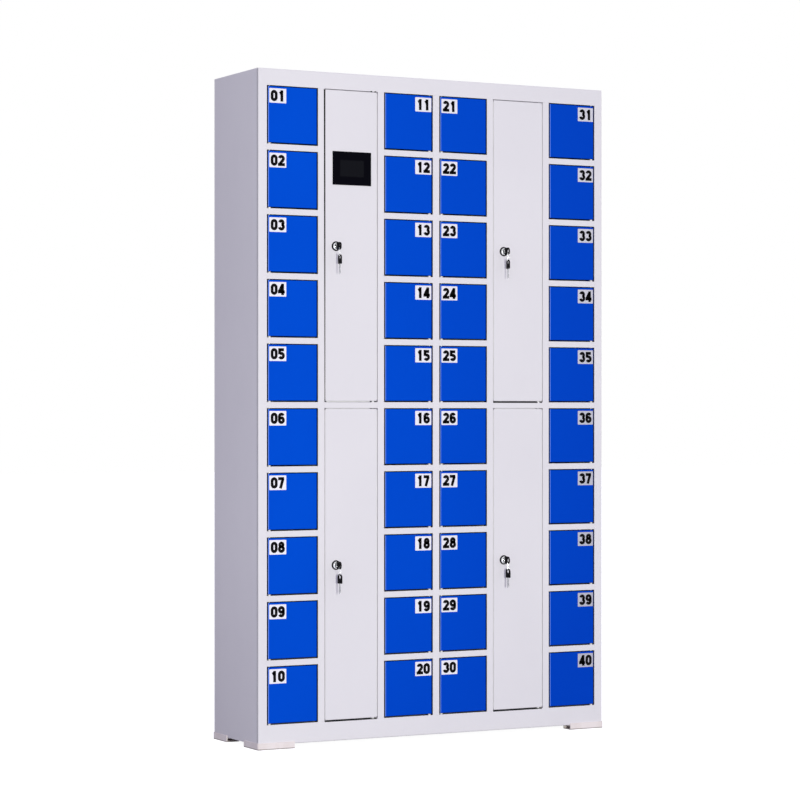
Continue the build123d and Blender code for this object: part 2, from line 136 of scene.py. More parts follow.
class Wire:
    """A value on its way through a finish. Arithmetic on it adds the Math nodes."""

    def __init__(self, sheet: Sheet, socket: bpy.types.NodeSocket) -> None:
        """Holds one output socket of the sheet's nodes."""
        self.sheet = sheet
        self.socket = socket

    def maths(self, operation: str, first: Value, second: Value = 0.0) -> Wire:
        """One Math node.

        Args:
            operation: the node's operation.
            first: its first value.
            second: its second value.

        Returns:
            The node's result.
        """
        return self.sheet.node("ShaderNodeMath", {"operation": operation}, {0: first, 1: second})

    def __add__(self, other: Value) -> Wire:
        """This value plus another."""
        return self.maths("ADD", self, other)

    __radd__ = __add__

    def __sub__(self, other: Value) -> Wire:
        """This value less another."""
        return self.maths("SUBTRACT", self, other)

    def __rsub__(self, other: Value) -> Wire:
        """Another value less this one."""
        return self.maths("SUBTRACT", other, self)

    def __mul__(self, other: Value) -> Wire:
        """This value times another."""
        return self.maths("MULTIPLY", self, other)

    __rmul__ = __mul__

    def __pow__(self, other: Value) -> Wire:
        """This value to a power."""
        return self.maths("POWER", self, other)

    def __abs__(self) -> Wire:
        """This value without its sign."""
        return self.maths("ABSOLUTE", self)

    def or_more(self, other: Value) -> Wire:
        """The larger of this value and another."""
        return self.maths("MAXIMUM", self, other)

    def above(self, edge: float, blur: float) -> Wire:
        """A soft mask of where this value is above an edge.

        Args:
            edge: the value at the middle of the mask's edge.
            blur: the range over which the mask rises.

        Returns:
            0 well below the edge and 1 well above it.
        """
        settings = {"interpolation_type": "SMOOTHSTEP", "clamp": True}
        inputs = {0: self, 1: edge - blur / 2, 2: edge + blur / 2}
        return self.sheet.node("ShaderNodeMapRange", settings, inputs)

    def below(self, edge: float, blur: float) -> Wire:
        """A soft mask of where this value is under an edge, as above() gives for over it."""
        return 1 - self.above(edge, blur)

    def beside(self, name: str) -> Wire:
        """Another output of the node that this value comes from."""
        return Wire(self.sheet, self.socket.node.outputs[name])


Value = Union[float, Wire]


class Sheet:
    """The nodes of one finish, of the floor or of the world."""

    def __init__(self, tree: bpy.types.NodeTree) -> None:
        """Takes a node tree and empties it."""
        self.tree = tree
        tree.nodes.clear()

    def node(
        self,
        kind: str,
        settings: dict[str, object],
        inputs: dict[Union[int, str], object],
        output: Union[int, str] = 0,
    ) -> Wire:
        """Adds a node.

        Args:
            kind: the node's type.
            settings: its properties.
            inputs: a wire or a constant for each socket, by name or number.
            output: the socket to go on from, by name or number.

        Returns:
            That output.
        """
        made = self.tree.nodes.new(kind)
        for key, value in settings.items():
            setattr(made, key, value)
        for key, value in inputs.items():
            if isinstance(value, Wire):
                self.tree.links.new(value.socket, made.inputs[key])
            else:
                made.inputs[key].default_value = value
        return Wire(self, made.outputs[output] if len(made.outputs) else None)

    def spot(self, kind: str = "Object") -> Wire:
        """The point on the object, in metres, or another of its texture coordinates."""
        return self.node("ShaderNodeTexCoord", {}, {}, kind)

    def axes(self, kind: str = "Object") -> tuple[Wire, Wire, Wire]:
        """The x, y and z of the point, or of another of its texture coordinates."""
        x = self.node("ShaderNodeSeparateXYZ", {}, {0: self.spot(kind)})
        return x, x.beside("Y"), x.beside("Z")

    def grain(
        self, size: float, stretch: Sequence[float] = (1, 1, 1), detail: float = 2.0,
    ) -> Wire:
        """Smooth noise.

        Args:
            size: how large its spots are, in metres.
            stretch: how many times longer they are along each axis.
            detail: how many finer layers it has.

        Returns:
            Values round 0.5.
        """
        scale = tuple(1 / (size * length) for length in stretch)
        inputs = {0: self.spot(), "Scale": scale}
        scaled = self.node("ShaderNodeMapping", {"vector_type": "POINT"}, inputs)
        inputs = {"Vector": scaled, "Scale": 1.0, "Detail": detail}
        return self.node("ShaderNodeTexNoise", {}, inputs)

    def blend(self, first: object, second: object, share: Value) -> Wire:
        """Two colours mixed, with share of the second."""
        return self.node("ShaderNodeMix", {"data_type": "RGBA"}, {0: share, 6: first, 7: second}, 2)

    def bump(self, height: Wire, depth: float, strength: float = 1.0) -> Wire:
        """A relief of that depth in metres, as a normal."""
        inputs = {"Height": height, "Distance": depth, "Strength": strength}
        return self.node("ShaderNodeBump", {}, inputs)

    def close(self, surface: Wire, output: str = "ShaderNodeOutputMaterial") -> None:
        """Ends the sheet with that surface."""
        self.node(output, {}, {"Surface": surface})

    def shader(self, inputs: dict[str, object]) -> None:
        """Ends the sheet with a Principled shader that has those inputs."""
        self.close(self.node("ShaderNodeBsdfPrincipled", {}, inputs))


def new_sheet(name: str) -> tuple[bpy.types.Material, Sheet]:
    """Makes an empty material.

    Args:
        name: its name.

    Returns:
        The material and its sheet.
    """
    material = bpy.data.materials.new(name)
    material.use_nodes = True
    return material, Sheet(material.node_tree)


# Finishes


@dataclass(frozen=True)
class Plating:
    """Where the steel of a painted piece is plated, at its locks and behind a certain depth."""

    behind: Optional[float] = None
    lock_axes: tuple[Point, ...] = ()
    lock_radius: float = 15.2 * MM
    bezel_radius: float = 10.1 * MM
    face: float = 0.0
    steel: float = 1.05 * MM
    edge: float = 0.02 * MM

    def mask(self, sheet: Sheet) -> Value:
        """The share of plating at a point.

        Args:
            sheet: the nodes that it is added to.

        Returns:
            1 on plated steel and 0 on paint.
        """
        x, y, z = sheet.axes()
        share: Value = 0.0
        if self.behind is not None:
            share = y.above(self.behind, 0.05 * MM)
        for axis_x, axis_z in self.lock_axes:
            reach = ((x - axis_x) ** 2 + (z - axis_z) ** 2) ** 0.5
            back = y.above(self.face + self.steel, self.edge)
            back = reach.below(self.lock_radius, 0.2 * MM) * back
            front = y.below(self.face - 0.05 * MM, self.edge)
            front = reach.below(self.bezel_radius, 0.05 * MM) * front
            share = (back + front).or_more(share)
        return share


@dataclass(frozen=True)
class PaintedGapShade:
    """Painted shade in the returns behind a face, dark where the shadow falls in the gaps round the
    doors.

    A piece with bevels also gets painted shade on its bevels and in a dark rim at its right-hand
    edge, and a painted highlight line inside its left-hand bevel, the rim and the line given as
    shares of its width.
    """

    start: float
    shade_colour: Display
    fade: float = 0.6 * MM
    low: Point = (-10.0, -10.0)
    high: Point = (10.0, 10.0)
    spared: Point = (0.0, 0.0)
    edge: float = 0.3 * MM
    bevels: Optional[float] = None
    bevel_edge: float = 0.2 * MM
    rim: float = 0.0125
    highlight_colour: Display = (116, 154, 246)
    highlight_band: Point = (0.0070, 0.0190)
    line_edge: float = 0.001

    def mask(self, sheet: Sheet) -> Wire:
        """The share of painted gap shade at a point.

        Args:
            sheet: the nodes that it is added to.

        Returns:
            1 where shade is painted deep in the returns between the low and high corners, standing
            in for the shadow in the gaps, and 0 in the spared bays beside the middle and everywhere
            else. The bevels, from their own depth on, and the rim are 1, painted shade as well.
        """
        x, y, z = sheet.axes()
        edge, (near, far) = self.edge, self.spared
        share = y.above(self.start, self.fade)
        share = share * x.above(self.low[0], edge) * x.below(self.high[0], edge)
        share = share * z.above(self.low[1], edge) * z.below(self.high[1], edge)
        share = share * (1 - abs(x).above(near, edge) * abs(x).below(far, edge))
        if self.bevels is None:
            return share
        sideways, _, upright = sheet.axes("Normal")
        turned = abs(sideways).or_more(abs(upright)).above(0.3, 0.2)
        rim = sheet.axes("Generated")[0].above(1 - self.rim, self.line_edge)
        return share.or_more(y.above(self.bevels, self.bevel_edge) * turned).or_more(rim)

    def line(self, sheet: Sheet) -> Value:
        """The share of the painted highlight line at a point, standing in for the light that the
        rounded face catches.

        Args:
            sheet: the nodes that it is added to.

        Returns:
            1 on the line and 0 beside it.
        """
        if self.bevels is None:
            return 0.0
        width = sheet.axes("Generated")[0]
        low, high = self.highlight_band
        line = width.above(low, self.line_edge) * width.below(high, self.line_edge)
        return line * sheet.axes()[1].below(self.bevels, self.bevel_edge)


@dataclass(frozen=True)
class PaintedFalloff:
    """Painted shade: a slow change of a paint toward a darker second colour across the whole
    cabinet, standing in for the light falling off to the right, to the back and toward the foot.

    Start is the second colour's share in the middle of the cabinet, high up. Across and back say
    how much it grows in a metre to the right and in a metre back, and down how much at the foot.
    """

    colour: Display
    across: float = 0.0
    back: float = 0.0
    down: float = 0.0
    start: float = 0.0

    def share(self, sheet: Sheet) -> Wire:
        """The share of the second colour at a point.

        Args:
            sheet: the nodes that it is added to.

        Returns:
            The share, never under 0.
        """
        x, y, z = sheet.axes()
        foot = z.below(0.3, 0.8)
        share = self.start + x * self.across + y * self.back + foot * self.down
        return share.or_more(0.0)


@dataclass(frozen=True)
class PowderCoat:
    """Baked powder paint on folded steel, with a fine orange peel and light marks of use.

    In front of the cut, if there is one, the sheet's cut edge is painted dark, as painted shade in
    the seam behind the frame.
    """

    name: str
    colour: Display
    shade: Display
    roughness: float = 0.42
    gloss: float = 0.35
    sheen_tint: Display = (255, 255, 255)
    peel: float = 0.03 * MM
    plating: Plating = Plating()
    folds: Optional[PaintedGapShade] = None
    painted_falloff: Optional[PaintedFalloff] = None
    cut: Optional[float] = None
    seam_shade: Display = (52, 52, 60)
    zinc: Display = (176, 178, 182)
    bright_zinc: Display = (208, 210, 214)

    def material(self) -> bpy.types.Material:
        """The paint as a material."""
        material, sheet = new_sheet(self.name)
        _, y, z = sheet.axes()
        cloud = sheet.grain(0.35, detail=1.0)
        peel = sheet.grain(1.6 * MM, detail=1.0)
        handling = sheet.grain(45 * MM, (1, 1, 1.6), 3.0)
        scratch = sheet.grain(2.5 * MM, (9, 9, 0.6), 2.0).above(0.74, 0.05)
        low = z.below(0.10, 0.16)
        worn = (0.25 * handling.above(0.6, 0.2) + scratch * low).or_more(0.0)
        shaded = cloud.above(0.5, 0.5) * 0.35 + worn * 0.3
        paint = sheet.blend(linear(self.colour), linear(self.shade), shaded)
        # Painted shade: the paint darkens across the cabinet as the light falls off.
        if self.painted_falloff is not None:
            paint = sheet.blend(paint, linear(self.painted_falloff.colour), self.painted_falloff.share(sheet))
        # Painted shade in the seam behind the frame: the cut edge is painted dark.
        if self.cut is not None:
            paint = sheet.blend(paint, linear(self.seam_shade), y.below(self.cut, 0.2 * MM))
        # Painted highlight inside the left-hand bevels, then painted shade in the returns, on the
        # bevels and in the right-hand rim, for the light and shadow round the gaps.
        if self.folds is not None:
            paint = sheet.blend(paint, linear(self.folds.highlight_colour), self.folds.line(sheet))
            paint = sheet.blend(paint, linear(self.folds.shade_colour), self.folds.mask(sheet))
        rough = self.roughness + 0.10 * (handling - 0.5) + 0.06 * (peel - 0.5)
        metal: Value = 0.0
        share = self.plating.mask(sheet)
        if isinstance(share, Wire):
            spangle = sheet.grain(3 * MM, detail=2.0)
            zinc = sheet.blend(linear(self.zinc), linear(self.bright_zinc), spangle)
            paint = sheet.blend(paint, zinc, share)
            rough = rough * (1 - share) + (0.24 + 0.12 * spangle) * share
            metal = share
        sheet.shader({
            "Base Color": paint,
            "Roughness": rough,
            "Metallic": metal,
            "Specular IOR Level": self.gloss,
            "Specular Tint": linear(self.sheen_tint),
            "Normal": sheet.bump(peel, self.peel, 0.5),
        })
        return material


@dataclass(frozen=True)
class Metal:
    """Bare or plated metal, with fine lines drawn along one axis."""

    name: str
    colour: Display
    shade: Display
    roughness: float
    lines: tuple[float, float, float] = (1, 1, 12)
    line_size: float = 0.5 * MM
    depth: float = 0.004 * MM

    def material(self) -> bpy.types.Material:
        """The metal as a material."""
        material, sheet = new_sheet(self.name)
        drawn = sheet.grain(self.line_size, self.lines, 2.0)
        bloom = sheet.grain(6 * MM, detail=3.0)
        tone = drawn * 0.5 + bloom * 0.5
        colour = sheet.blend(linear(self.shade), linear(self.colour), tone.above(0.5, 0.4))
        sheet.shader({
            "Base Color": colour,
            "Roughness": self.roughness * (0.8 + 0.4 * tone),
            "Metallic": 1.0,
            "Normal": sheet.bump(drawn, self.depth, 0.6),
        })
        return material


@dataclass(frozen=True)
class Moulded:
    """Moulded plastic with a spark-eroded skin, with painted shade near the floor, standing in for
    the contact shadow, if it has that colour.
    """

    name: str
    colour: Display
    shade: Display
    roughness: float = 0.5
    gloss: float = 0.45
    skin: float = 0.7 * MM
    depth: float = 0.03 * MM
    contact_shade: Optional[Display] = None
    contact_shade_height: float = 2.6 * MM

    def material(self) -> bpy.types.Material:
        """The plastic as a material."""
        material, sheet = new_sheet(self.name)
        skin = sheet.grain(self.skin, detail=2.0)
        flow = sheet.grain(25 * MM, (1, 1, 2), 3.0)
        tone = sheet.blend(linear(self.colour), linear(self.shade), flow.above(0.52, 0.3))
        # Painted shade along the foot, standing in for the contact shadow on the floor.
        if self.contact_shade is not None:
            near_floor = sheet.axes()[2].below(self.contact_shade_height, 0.8 * MM)
            contact_shaded = near_floor * (0.7 + 0.6 * (flow - 0.5))
            tone = sheet.blend(tone, linear(self.contact_shade), contact_shaded)
        sheet.shader({
            "Base Color": tone,
            "Roughness": self.roughness + 0.14 * (flow - 0.5) + 0.10 * (skin - 0.5),
            "Specular IOR Level": self.gloss,
            "Normal": sheet.bump(skin, self.depth, 0.5),
        })
        return material


@dataclass(frozen=True)
class ScreenFace:
    """Black panel of the touch screen, with the display a little lighter behind its glass."""

    name: str
    centre: Point
    display: Point
    front: float
    edge: float = 2 * MM

    def material(self) -> bpy.types.Material:
        """The panel as a material."""
        material, sheet = new_sheet(self.name)
        x, y, z = sheet.axes()
        width, height = self.display
        across = abs(x - self.centre[0]).below(width / 2, self.edge)
        up = abs(z - self.centre[1]).below(height / 2, self.edge)
        glass = across * up * y.below(self.front, 0.2 * MM)
        lines = sheet.grain(0.4 * MM, (1, 1, 40), 0.0)
        touched = sheet.grain(14 * MM, (1, 1, 1.4), 3.0).above(0.55, 0.2)
        frame_tone = sheet.blend(linear((1, 1, 8)), linear((4, 4, 12)), sheet.grain(30 * MM))
        glass_tone = sheet.blend(linear((16, 17, 22)), linear((20, 21, 26)), lines)
        sheet.shader({
            "Base Color": sheet.blend(frame_tone, glass_tone, glass),
            "Roughness": 0.30 - 0.14 * glass + 0.10 * touched * glass,
            "Specular IOR Level": 0.03,
            "Normal": sheet.bump(sheet.grain(0.8 * MM) * (1 - glass), 0.01 * MM, 0.4),
        })
        return material


@dataclass(frozen=True)
class Foil:
    """Silvery foil of the number plates, brushed from side to side, with painted shade toward the
    lower right of the cabinet.
    """

    name: str
    colour: Display
    shade: Display
    far_shade: Display
    metallic: float = 0.25

    def material(self) -> bpy.types.Material:
        """The foil as a material."""
        material, sheet = new_sheet(self.name)
        brushed = sheet.grain(0.35 * MM, (30, 1, 1), 2.0)
        handled = sheet.grain(18 * MM, detail=3.0)
        x, _, z = sheet.axes()
        marks = 0.6 * brushed + 0.4 * handled - 0.2
        bright = sheet.blend(linear(self.colour), linear(self.shade), marks)
        # Painted shade: the foil darkens toward the right of the cabinet and toward its foot, as
        # the light falls off.
        right, low = x.above(0.28, 0.5), z.below(1.0, 1.8)
        far_shaded = right * (0.28 + 0.42 * low)
        sheet.shader({
            "Base Color": sheet.blend(bright, linear(self.far_shade), far_shaded),
            "Roughness": 0.36 + 0.12 * (brushed - 0.5) + 0.10 * (handled - 0.5),
            "Metallic": self.metallic,
            "Normal": sheet.bump(brushed, 0.004 * MM, 0.5),
        })
        return material


@dataclass(frozen=True)
class Ink:
    """Thick black ink of the door numbers."""

    name: str
    colour: Display = (3, 3, 4)
    shade: Display = (9, 9, 11)

    def material(self) -> bpy.types.Material:
        """The ink as a material."""
        material, sheet = new_sheet(self.name)
        mottle = sheet.grain(1.2 * MM, detail=3.0)
        tone = sheet.blend(linear(self.colour), linear(self.shade), mottle.above(0.6, 0.3))
        sheet.shader({
            "Base Color": tone,
            "Roughness": 0.45 + 0.2 * (mottle - 0.5),
            "Specular IOR Level": 0.06,
            "Normal": sheet.bump(mottle, 0.01 * MM, 0.5),
        })
        return material


# Making pieces


class Piece:
    """A mesh in the making."""

    def __init__(self) -> None:
        """Starts an empty mesh."""
        self.mesh = bmesh.new()

    def since(self, before: set[bmesh.types.BMVert]) -> list[bmesh.types.BMVert]:
        """The vertices that weren't there before."""
        return [vert for vert in self.mesh.verts if vert not in before]

    def shift(self, verts: Iterable[bmesh.types.BMVert], offset: Sequence[float]) -> None:
        """Moves some of the vertices."""
        bmesh.ops.translate(self.mesh, vec=offset, verts=list(verts))

    def circle(self, radius: float, steps: int, filled: bool = False) -> list[bmesh.types.BMVert]:
        """A flat circle about the origin."""
        return bmesh.ops.create_circle(
            self.mesh, cap_ends=filled, segments=steps, radius=radius,
        )["verts"]

    def plate(
        self, width: float, height: float, corners: Sequence[float] = (), thickness: float = 0.0,
        segments: int = 4,
    ) -> list[bmesh.types.BMVert]:
        """A flat plate centred on the origin, its back at z = 0.

        Args:
            width: its size along x.
            height: its size along y.
            corners: corner radii at lower left, lower right, upper left and upper right, or none.
            thickness: how far it rises in z, or 0 for a single face.
            segments: how many runs each rounded corner has.

        Returns:
            Its vertices.
        """
        before = set(self.mesh.verts)
        made = bmesh.ops.create_grid(self.mesh, x_segments=1, y_segments=1, size=0.5)["verts"]
        bmesh.ops.scale(self.mesh, vec=(width, height, 1), verts=made)
        order = sorted(made, key=lambda vert: (vert.co.y > 0, vert.co.x > 0))
        for vert, radius in zip(order, corners):
            bmesh.ops.bevel(
                self.mesh, geom=[vert], offset=radius, offset_type="OFFSET", segments=segments,
                profile=0.5, affect="VERTICES", material=-1,
            )
        verts = self.since(before)
        if thickness:
            self.raise_up({face for vert in verts for face in vert.link_faces}, thickness)
            verts = self.since(before)
        return verts

    def raise_up(self, faces: Iterable[bmesh.types.BMFace], height: float) -> None:
        """Gives flat faces a thickness along z."""
        made = bmesh.ops.extrude_face_region(self.mesh, geom=list(faces), use_keep_orig=True)
        self.shift(verts_in(made["geom"]), (0, 0, height))

    def turned(self, profile: Sequence[Point], steps: int = 40) -> None:
        """Turns a profile round the z axis.

        Args:
            profile: points as radius and height, from the inside out.
            steps: how many facets go round.
        """
        start = self.line([(radius, 0.0, height) for radius, height in profile])
        bmesh.ops.spin(
            self.mesh, geom=start, cent=(0, 0, 0), axis=(0, 0, 1), dvec=(0, 0, 0),
            angle=math.tau, steps=steps, use_merge=True,
        )

    def line(self, points: Sequence[Sequence[float]]) -> list:
        """Draws a run of edges.

        Args:
            points: the points that it goes through.

        Returns:
            Its vertices, with the edge between each two.
        """
        last = bmesh.ops.create_vert(self.mesh, co=points[0])["vert"][0]
        made: list = [last]
        for point in points[1:]:
            grown = bmesh.ops.extrude_vert_indiv(self.mesh, verts=[last])
            last = grown["verts"][0]
            last.co = point
            made += [grown["edges"][0], last]
        return made

    def outlined(self, points: Sequence[Point], thickness: float) -> None:
        """A flat plate of any outline, its back at z = 0.

        Args:
            points: the outline.
            thickness: how far it rises in z.
        """
        verts = verts_in(self.line([(x, y, 0.0) for x, y in points]))
        face = bmesh.ops.contextual_create(self.mesh, geom=verts)["faces"]
        self.raise_up(face, thickness)

    def pierced(
        self, outline: Sequence[bmesh.types.BMVert], hole: Sequence[bmesh.types.BMVert],
    ) -> None:
        """Fills between an outline and a hole in it, in place of every face so far.

        Args:
            outline: the outline's vertices.
            hole: the hole's vertices.
        """
        bmesh.ops.delete(self.mesh, geom=self.mesh.faces[:], context="FACES_ONLY")
        edges = {edge for vert in list(outline) + list(hole) for edge in vert.link_edges}
        bmesh.ops.bridge_loops(self.mesh, edges=list(edges))

    def rounded(self, offset: float, segments: int = 2, sharper_than: float = 50.0) -> None:
        """Rounds the sharp edges.

        Args:
            offset: how far in from an edge the rounding starts.
            segments: how many runs it has.
            sharper_than: the angle in degrees over which an edge is sharp.
        """
        self.clean()
        edges = [e for e in self.mesh.edges if e.calc_face_angle(0.0) > math.radians(sharper_than)]
        bmesh.ops.bevel(
            self.mesh, geom=edges, offset=offset, offset_type="OFFSET", segments=segments,
            profile=0.5, affect="EDGES", clamp_overlap=True, material=-1,
        )

    def clean(self) -> None:
        """Merges doubles and turns the faces outwards."""
        bmesh.ops.remove_doubles(self.mesh, verts=self.mesh.verts, dist=0.002 * MM)
        bmesh.ops.recalc_face_normals(self.mesh, faces=self.mesh.faces)

    def place(self, matrix: Matrix) -> None:
        """Moves the whole mesh."""
        bmesh.ops.transform(self.mesh, matrix=matrix, verts=self.mesh.verts)

    def add(self, other: bpy.types.Mesh, matrix: Optional[Matrix] = None) -> None:
        """Adds a copy of a finished mesh.

        Args:
            other: the mesh.
            matrix: the move that the copy makes, if any.
        """
        before = set(self.mesh.verts)
        self.mesh.from_mesh(other)
        if matrix is not None:
            bmesh.ops.transform(self.mesh, matrix=matrix, verts=self.since(before))

    def raw(self, name: str) -> bpy.types.Mesh:
        """Ends the making, with the mesh as it stands.

        Args:
            name: the mesh's name.

        Returns:
            The mesh.
        """
        mesh = bpy.data.meshes.new(name)
        self.mesh.to_mesh(mesh)
        self.mesh.free()
        return mesh

    def data(self, name: str, crease: float = 35.0) -> bpy.types.Mesh:
        """Ends the making, with clean faces that are smooth but for their sharp edges.

        Args:
            name: the mesh's name.
            crease: the angle in degrees over which an edge is sharp.

        Returns:
            The mesh.
        """
        self.clean()
        for face in self.mesh.faces:
            face.smooth = True
        for edge in self.mesh.edges:
            edge.smooth = edge.calc_face_angle(0.0) < math.radians(crease)
        return self.raw(name)


def show(
    name: str, mesh: bpy.types.Mesh, finish: bpy.types.Material, body: str,
) -> bpy.types.Object:
    """Makes a mesh a piece of the cabinet.

    Args:
        name: the piece's name.
        mesh: its mesh, in its place.
        finish: its material.
        body: the body that it moves with.

    Returns:
        The piece.
    """
    mesh.materials.clear()
    mesh.materials.append(finish)
    piece = placed(name, mesh)
    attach(piece, body)
    LOG.info("%s: %d faces on %s", name, len(mesh.polygons), body)
    return piece


# Where things are


class Side(Enum):
    """The side of a door that its hinge is on."""

    LEFT = -1
    RIGHT = 1


@dataclass(frozen=True)
class Door:
    """A door's place at rest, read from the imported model."""

    body: str
    low: Vector
    high: Vector
    hinge: Side

    @staticmethod
    def phone(number: int) -> Door:
        """Finds a phone door.

        Args:
            number: its number, from 1 at the upper left down each column.

        Returns:
            The door.
        """
        body = f"phone_door_{number:02d}"
        hinge = Side.LEFT if (number - 1) // 10 in (0, 2) else Side.RIGHT
        return Door(body, *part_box(body), hinge)

    @staticmethod
    def service(storey: str, bay: str) -> Door:
        """The service door of a storey and a bay."""
        body = f"service_door_{storey}_{bay}"
        return Door(body, *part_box(body), Side.RIGHT)

    def hinge_edge(self) -> float:
        """The x of the hinge edge."""
        return self.low.x if self.hinge is Side.LEFT else self.high.x

    def middle(self) -> float:
        """The z of the middle of its height."""
        return (self.low.z + self.high.z) / 2

    def lock_axis(self) -> Vector:
        """Where the lock's axis meets the face of a service door."""
        return Vector((self.low.x + LOCK_INSET, FACE, self.middle() - LOCK_DROP))


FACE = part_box("phone_door_01")[0].y
# How far a door stands clear of its opening beside it, over it and under it.
SIDE_GAP, TOP_GAP, FOOT_GAP = 3 * MM, 2 * MM, 3.5 * MM
# A service door's lock lies this far in from its left edge, and below its middle.
LOCK_INSET, LOCK_DROP = 33.5 * MM, 2.25 * MM
PHONE_DOORS = [Door.phone(number) for number in range(1, 41)]
PLACES = [(storey, bay) for storey in ("upper", "lower") for bay in ("left", "right")]
SERVICE_DOORS = {place: Door.service(*place) for place in PLACES}


# Number plates


class Pen:
    """Draws the middle line of a figure's stroke, in millimetres, as edges."""

    def __init__(self, mesh: bmesh.types.BMesh, start: Point) -> None:
        """Puts the pen down."""
        self.mesh = mesh
        self.tip = bmesh.ops.create_vert(mesh, co=(start[0], start[1], 0))["vert"][0]

    def to(self, x: float, y: float) -> Pen:
        """Draws a straight line.

        Args:
            x: how far right it ends.
            y: how far up it ends.

        Returns:
            The pen, at its end.
        """
        self.tip = bmesh.ops.extrude_vert_indiv(self.mesh, verts=[self.tip])["verts"][0]
        self.tip.co = (x, y, 0)
        return self

    def round(self, x: float, y: float, degrees: float) -> Pen:
        """Draws an arc.

        Args:
            x: how far right its centre is.
            y: how far up its centre is.
            degrees: how far it turns, to the left if positive.

        Returns:
            The pen, at its end.
        """
        steps = max(3, int(abs(degrees) / 14))
        made = bmesh.ops.spin(
            self.mesh, geom=[self.tip], cent=(x, y, 0), axis=(0, 0, 1), dvec=(0, 0, 0),
            angle=math.radians(degrees), steps=steps, use_merge=False,
        )
        self.tip = made["geom_last"][0]
        return self


@dataclass
class Figures:
    """Heavy upright figures, in millimetres, drawn as middle lines from a baseline at y = 0.

    Rise is how high the middle lines go, and radius is that of a figure's round parts.
    """

    stroke: float = 8.7
    rise: float = 23.2
    radius: float = 6.4
    thickness: float = 0.12

    def strokes(self, figure: str, mesh: bmesh.types.BMesh) -> None:
        """Draws the middle lines of one figure.

        Args:
            figure: the figure, from "0" to "9".
            mesh: the mesh that they are drawn in.
        """
        r, top, end = self.radius, self.rise, self.stroke / 2
        wide, high = 2 * r, top - r
        if figure == "0":
            Pen(mesh, (0, r)).to(0, high).round(r, high, -180).to(wide, r).round(r, r, -180)
        elif figure == "1":
            Pen(mesh, (r + 1.4, -end)).to(r + 1.4, top + end)
            Pen(mesh, (r + 1.0, top - 1.4)).to(r - 5.4, top - 5.0)
        elif figure == "2":
            Pen(mesh, (0.3, high + 1.2)).round(r, high, -205).to(1.2, 1.0)
            Pen(mesh, (-end, 0)).to(wide + end, 0)
        elif figure == "3":
            upper = 5.6
            Pen(mesh, (r - 0.98 * upper, top - 0.83 * upper)).round(r, top - upper, -260)
            Pen(mesh, (r, 2 * r)).round(r, r, -260)
        elif figure == "4":
            Pen(mesh, (wide - 2.6, -end)).to(wide - 2.6, top + end)
            Pen(mesh, (-end, 4.6)).to(wide + end, 4.6)
            Pen(mesh, (wide - 3.4, top + 0.6)).to(-0.4, 5.4)
        elif figure == "5":
            Pen(mesh, (0.6, top)).to(wide + 1.8, top)
            Pen(mesh, (0.9, top + end)).to(0.5, r + 3.6)
            Pen(mesh, (r - 0.77 * r, r + 0.64 * r)).round(r, r, -295)
        elif figure == "6":
            Pen(mesh, (0, r)).round(r, r, -360)
            Pen(mesh, (0, r)).to(0, high).round(r, high, -158)
        elif figure == "7":
            Pen(mesh, (-end + 0.6, top)).to(wide + 2.0, top)
            Pen(mesh, (wide - 0.9, top + 0.4)).to(3.2, -end)
        elif figure == "8":
            Pen(mesh, (0, r)).round(r, r, -360)
            Pen(mesh, (r - 5.0, top - 5.0)).round(r, top - 5.0, -360)
        else:
            Pen(mesh, (wide, high)).round(r, high, -360)
            Pen(mesh, (wide, high)).to(wide, r).round(r, r, -158)

    def mesh(self, figure: str) -> bpy.types.Mesh:
        """Makes one figure.

        Args:
            figure: the figure, from "0" to "9".

        Returns:
            A thin solid, in metres, its back at z = 0.
        """
        piece = Piece()
        self.strokes(figure, piece.mesh)
        bmesh.ops.remove_doubles(piece.mesh, verts=piece.mesh.verts, dist=0.01)
        made = bmesh.ops.extrude_edge_only(piece.mesh, edges=piece.mesh.edges)["geom"]
        piece.shift(verts_in(made), (0, 0, self.thickness))
        holder = placed("stroke", piece.raw("stroke"))
        wall = holder.modifiers.new("wall", "SOLIDIFY")
        wall.thickness, wall.offset, wall.use_even_offset = self.stroke, 0.0, True
        solid = settled(holder)
        solid.transform(Matrix.Scale(MM, 4))
        return solid


@dataclass
class NumberPlates:
    """Foil plates with the door numbers, in the upper hinge corner of each phone door."""

    foil: bpy.types.Material
    ink: bpy.types.Material
    width: float = 53 * MM
    height: float = 41 * MM
    thickness: float = 0.3 * MM
    corner: float = 1.5 * MM
    left_inset: float = 4.3 * MM
    right_inset: float = 2.6 * MM
    top_inset: float = 6.2 * MM
    pitch: float = 22.6 * MM
    base: float = -11.8 * MM

    def build(self) -> None:
        """Makes a plate and its two figures for every phone door."""
        figures = Figures()
        cut = {name: figures.mesh(name) for name in "0123456789"}
        for number, door in enumerate(PHONE_DOORS, start=1):
            inwards = -door.hinge.value
            inset = self.left_inset if door.hinge is Side.LEFT else self.right_inset
            x = door.hinge_edge() + inwards * (inset + self.width / 2)
            z = door.high.z - self.top_inset - self.height / 2
            spot = Matrix.Translation((x, FACE, z)) @ STANDING
            plate = Piece()
            plate.plate(self.width, self.height, (self.corner,) * 4, self.thickness)
            plate.place(spot)
            name = f"{number:02d}"
            sheet = plate.data("number_plate")
            show(f"number_plate_{name}", sheet, self.foil, door.body)
            pair = Piece()
            for place, figure in zip((-1, 1), name):
                left = place * self.pitch / 2 - figures.radius * MM
                offset = Matrix.Translation((left, self.base, self.thickness))
                pair.add(cut[figure], spot @ offset)
            show(f"figures_{name}", pair.data("figures"), self.ink, door.body)


# Locks and keys


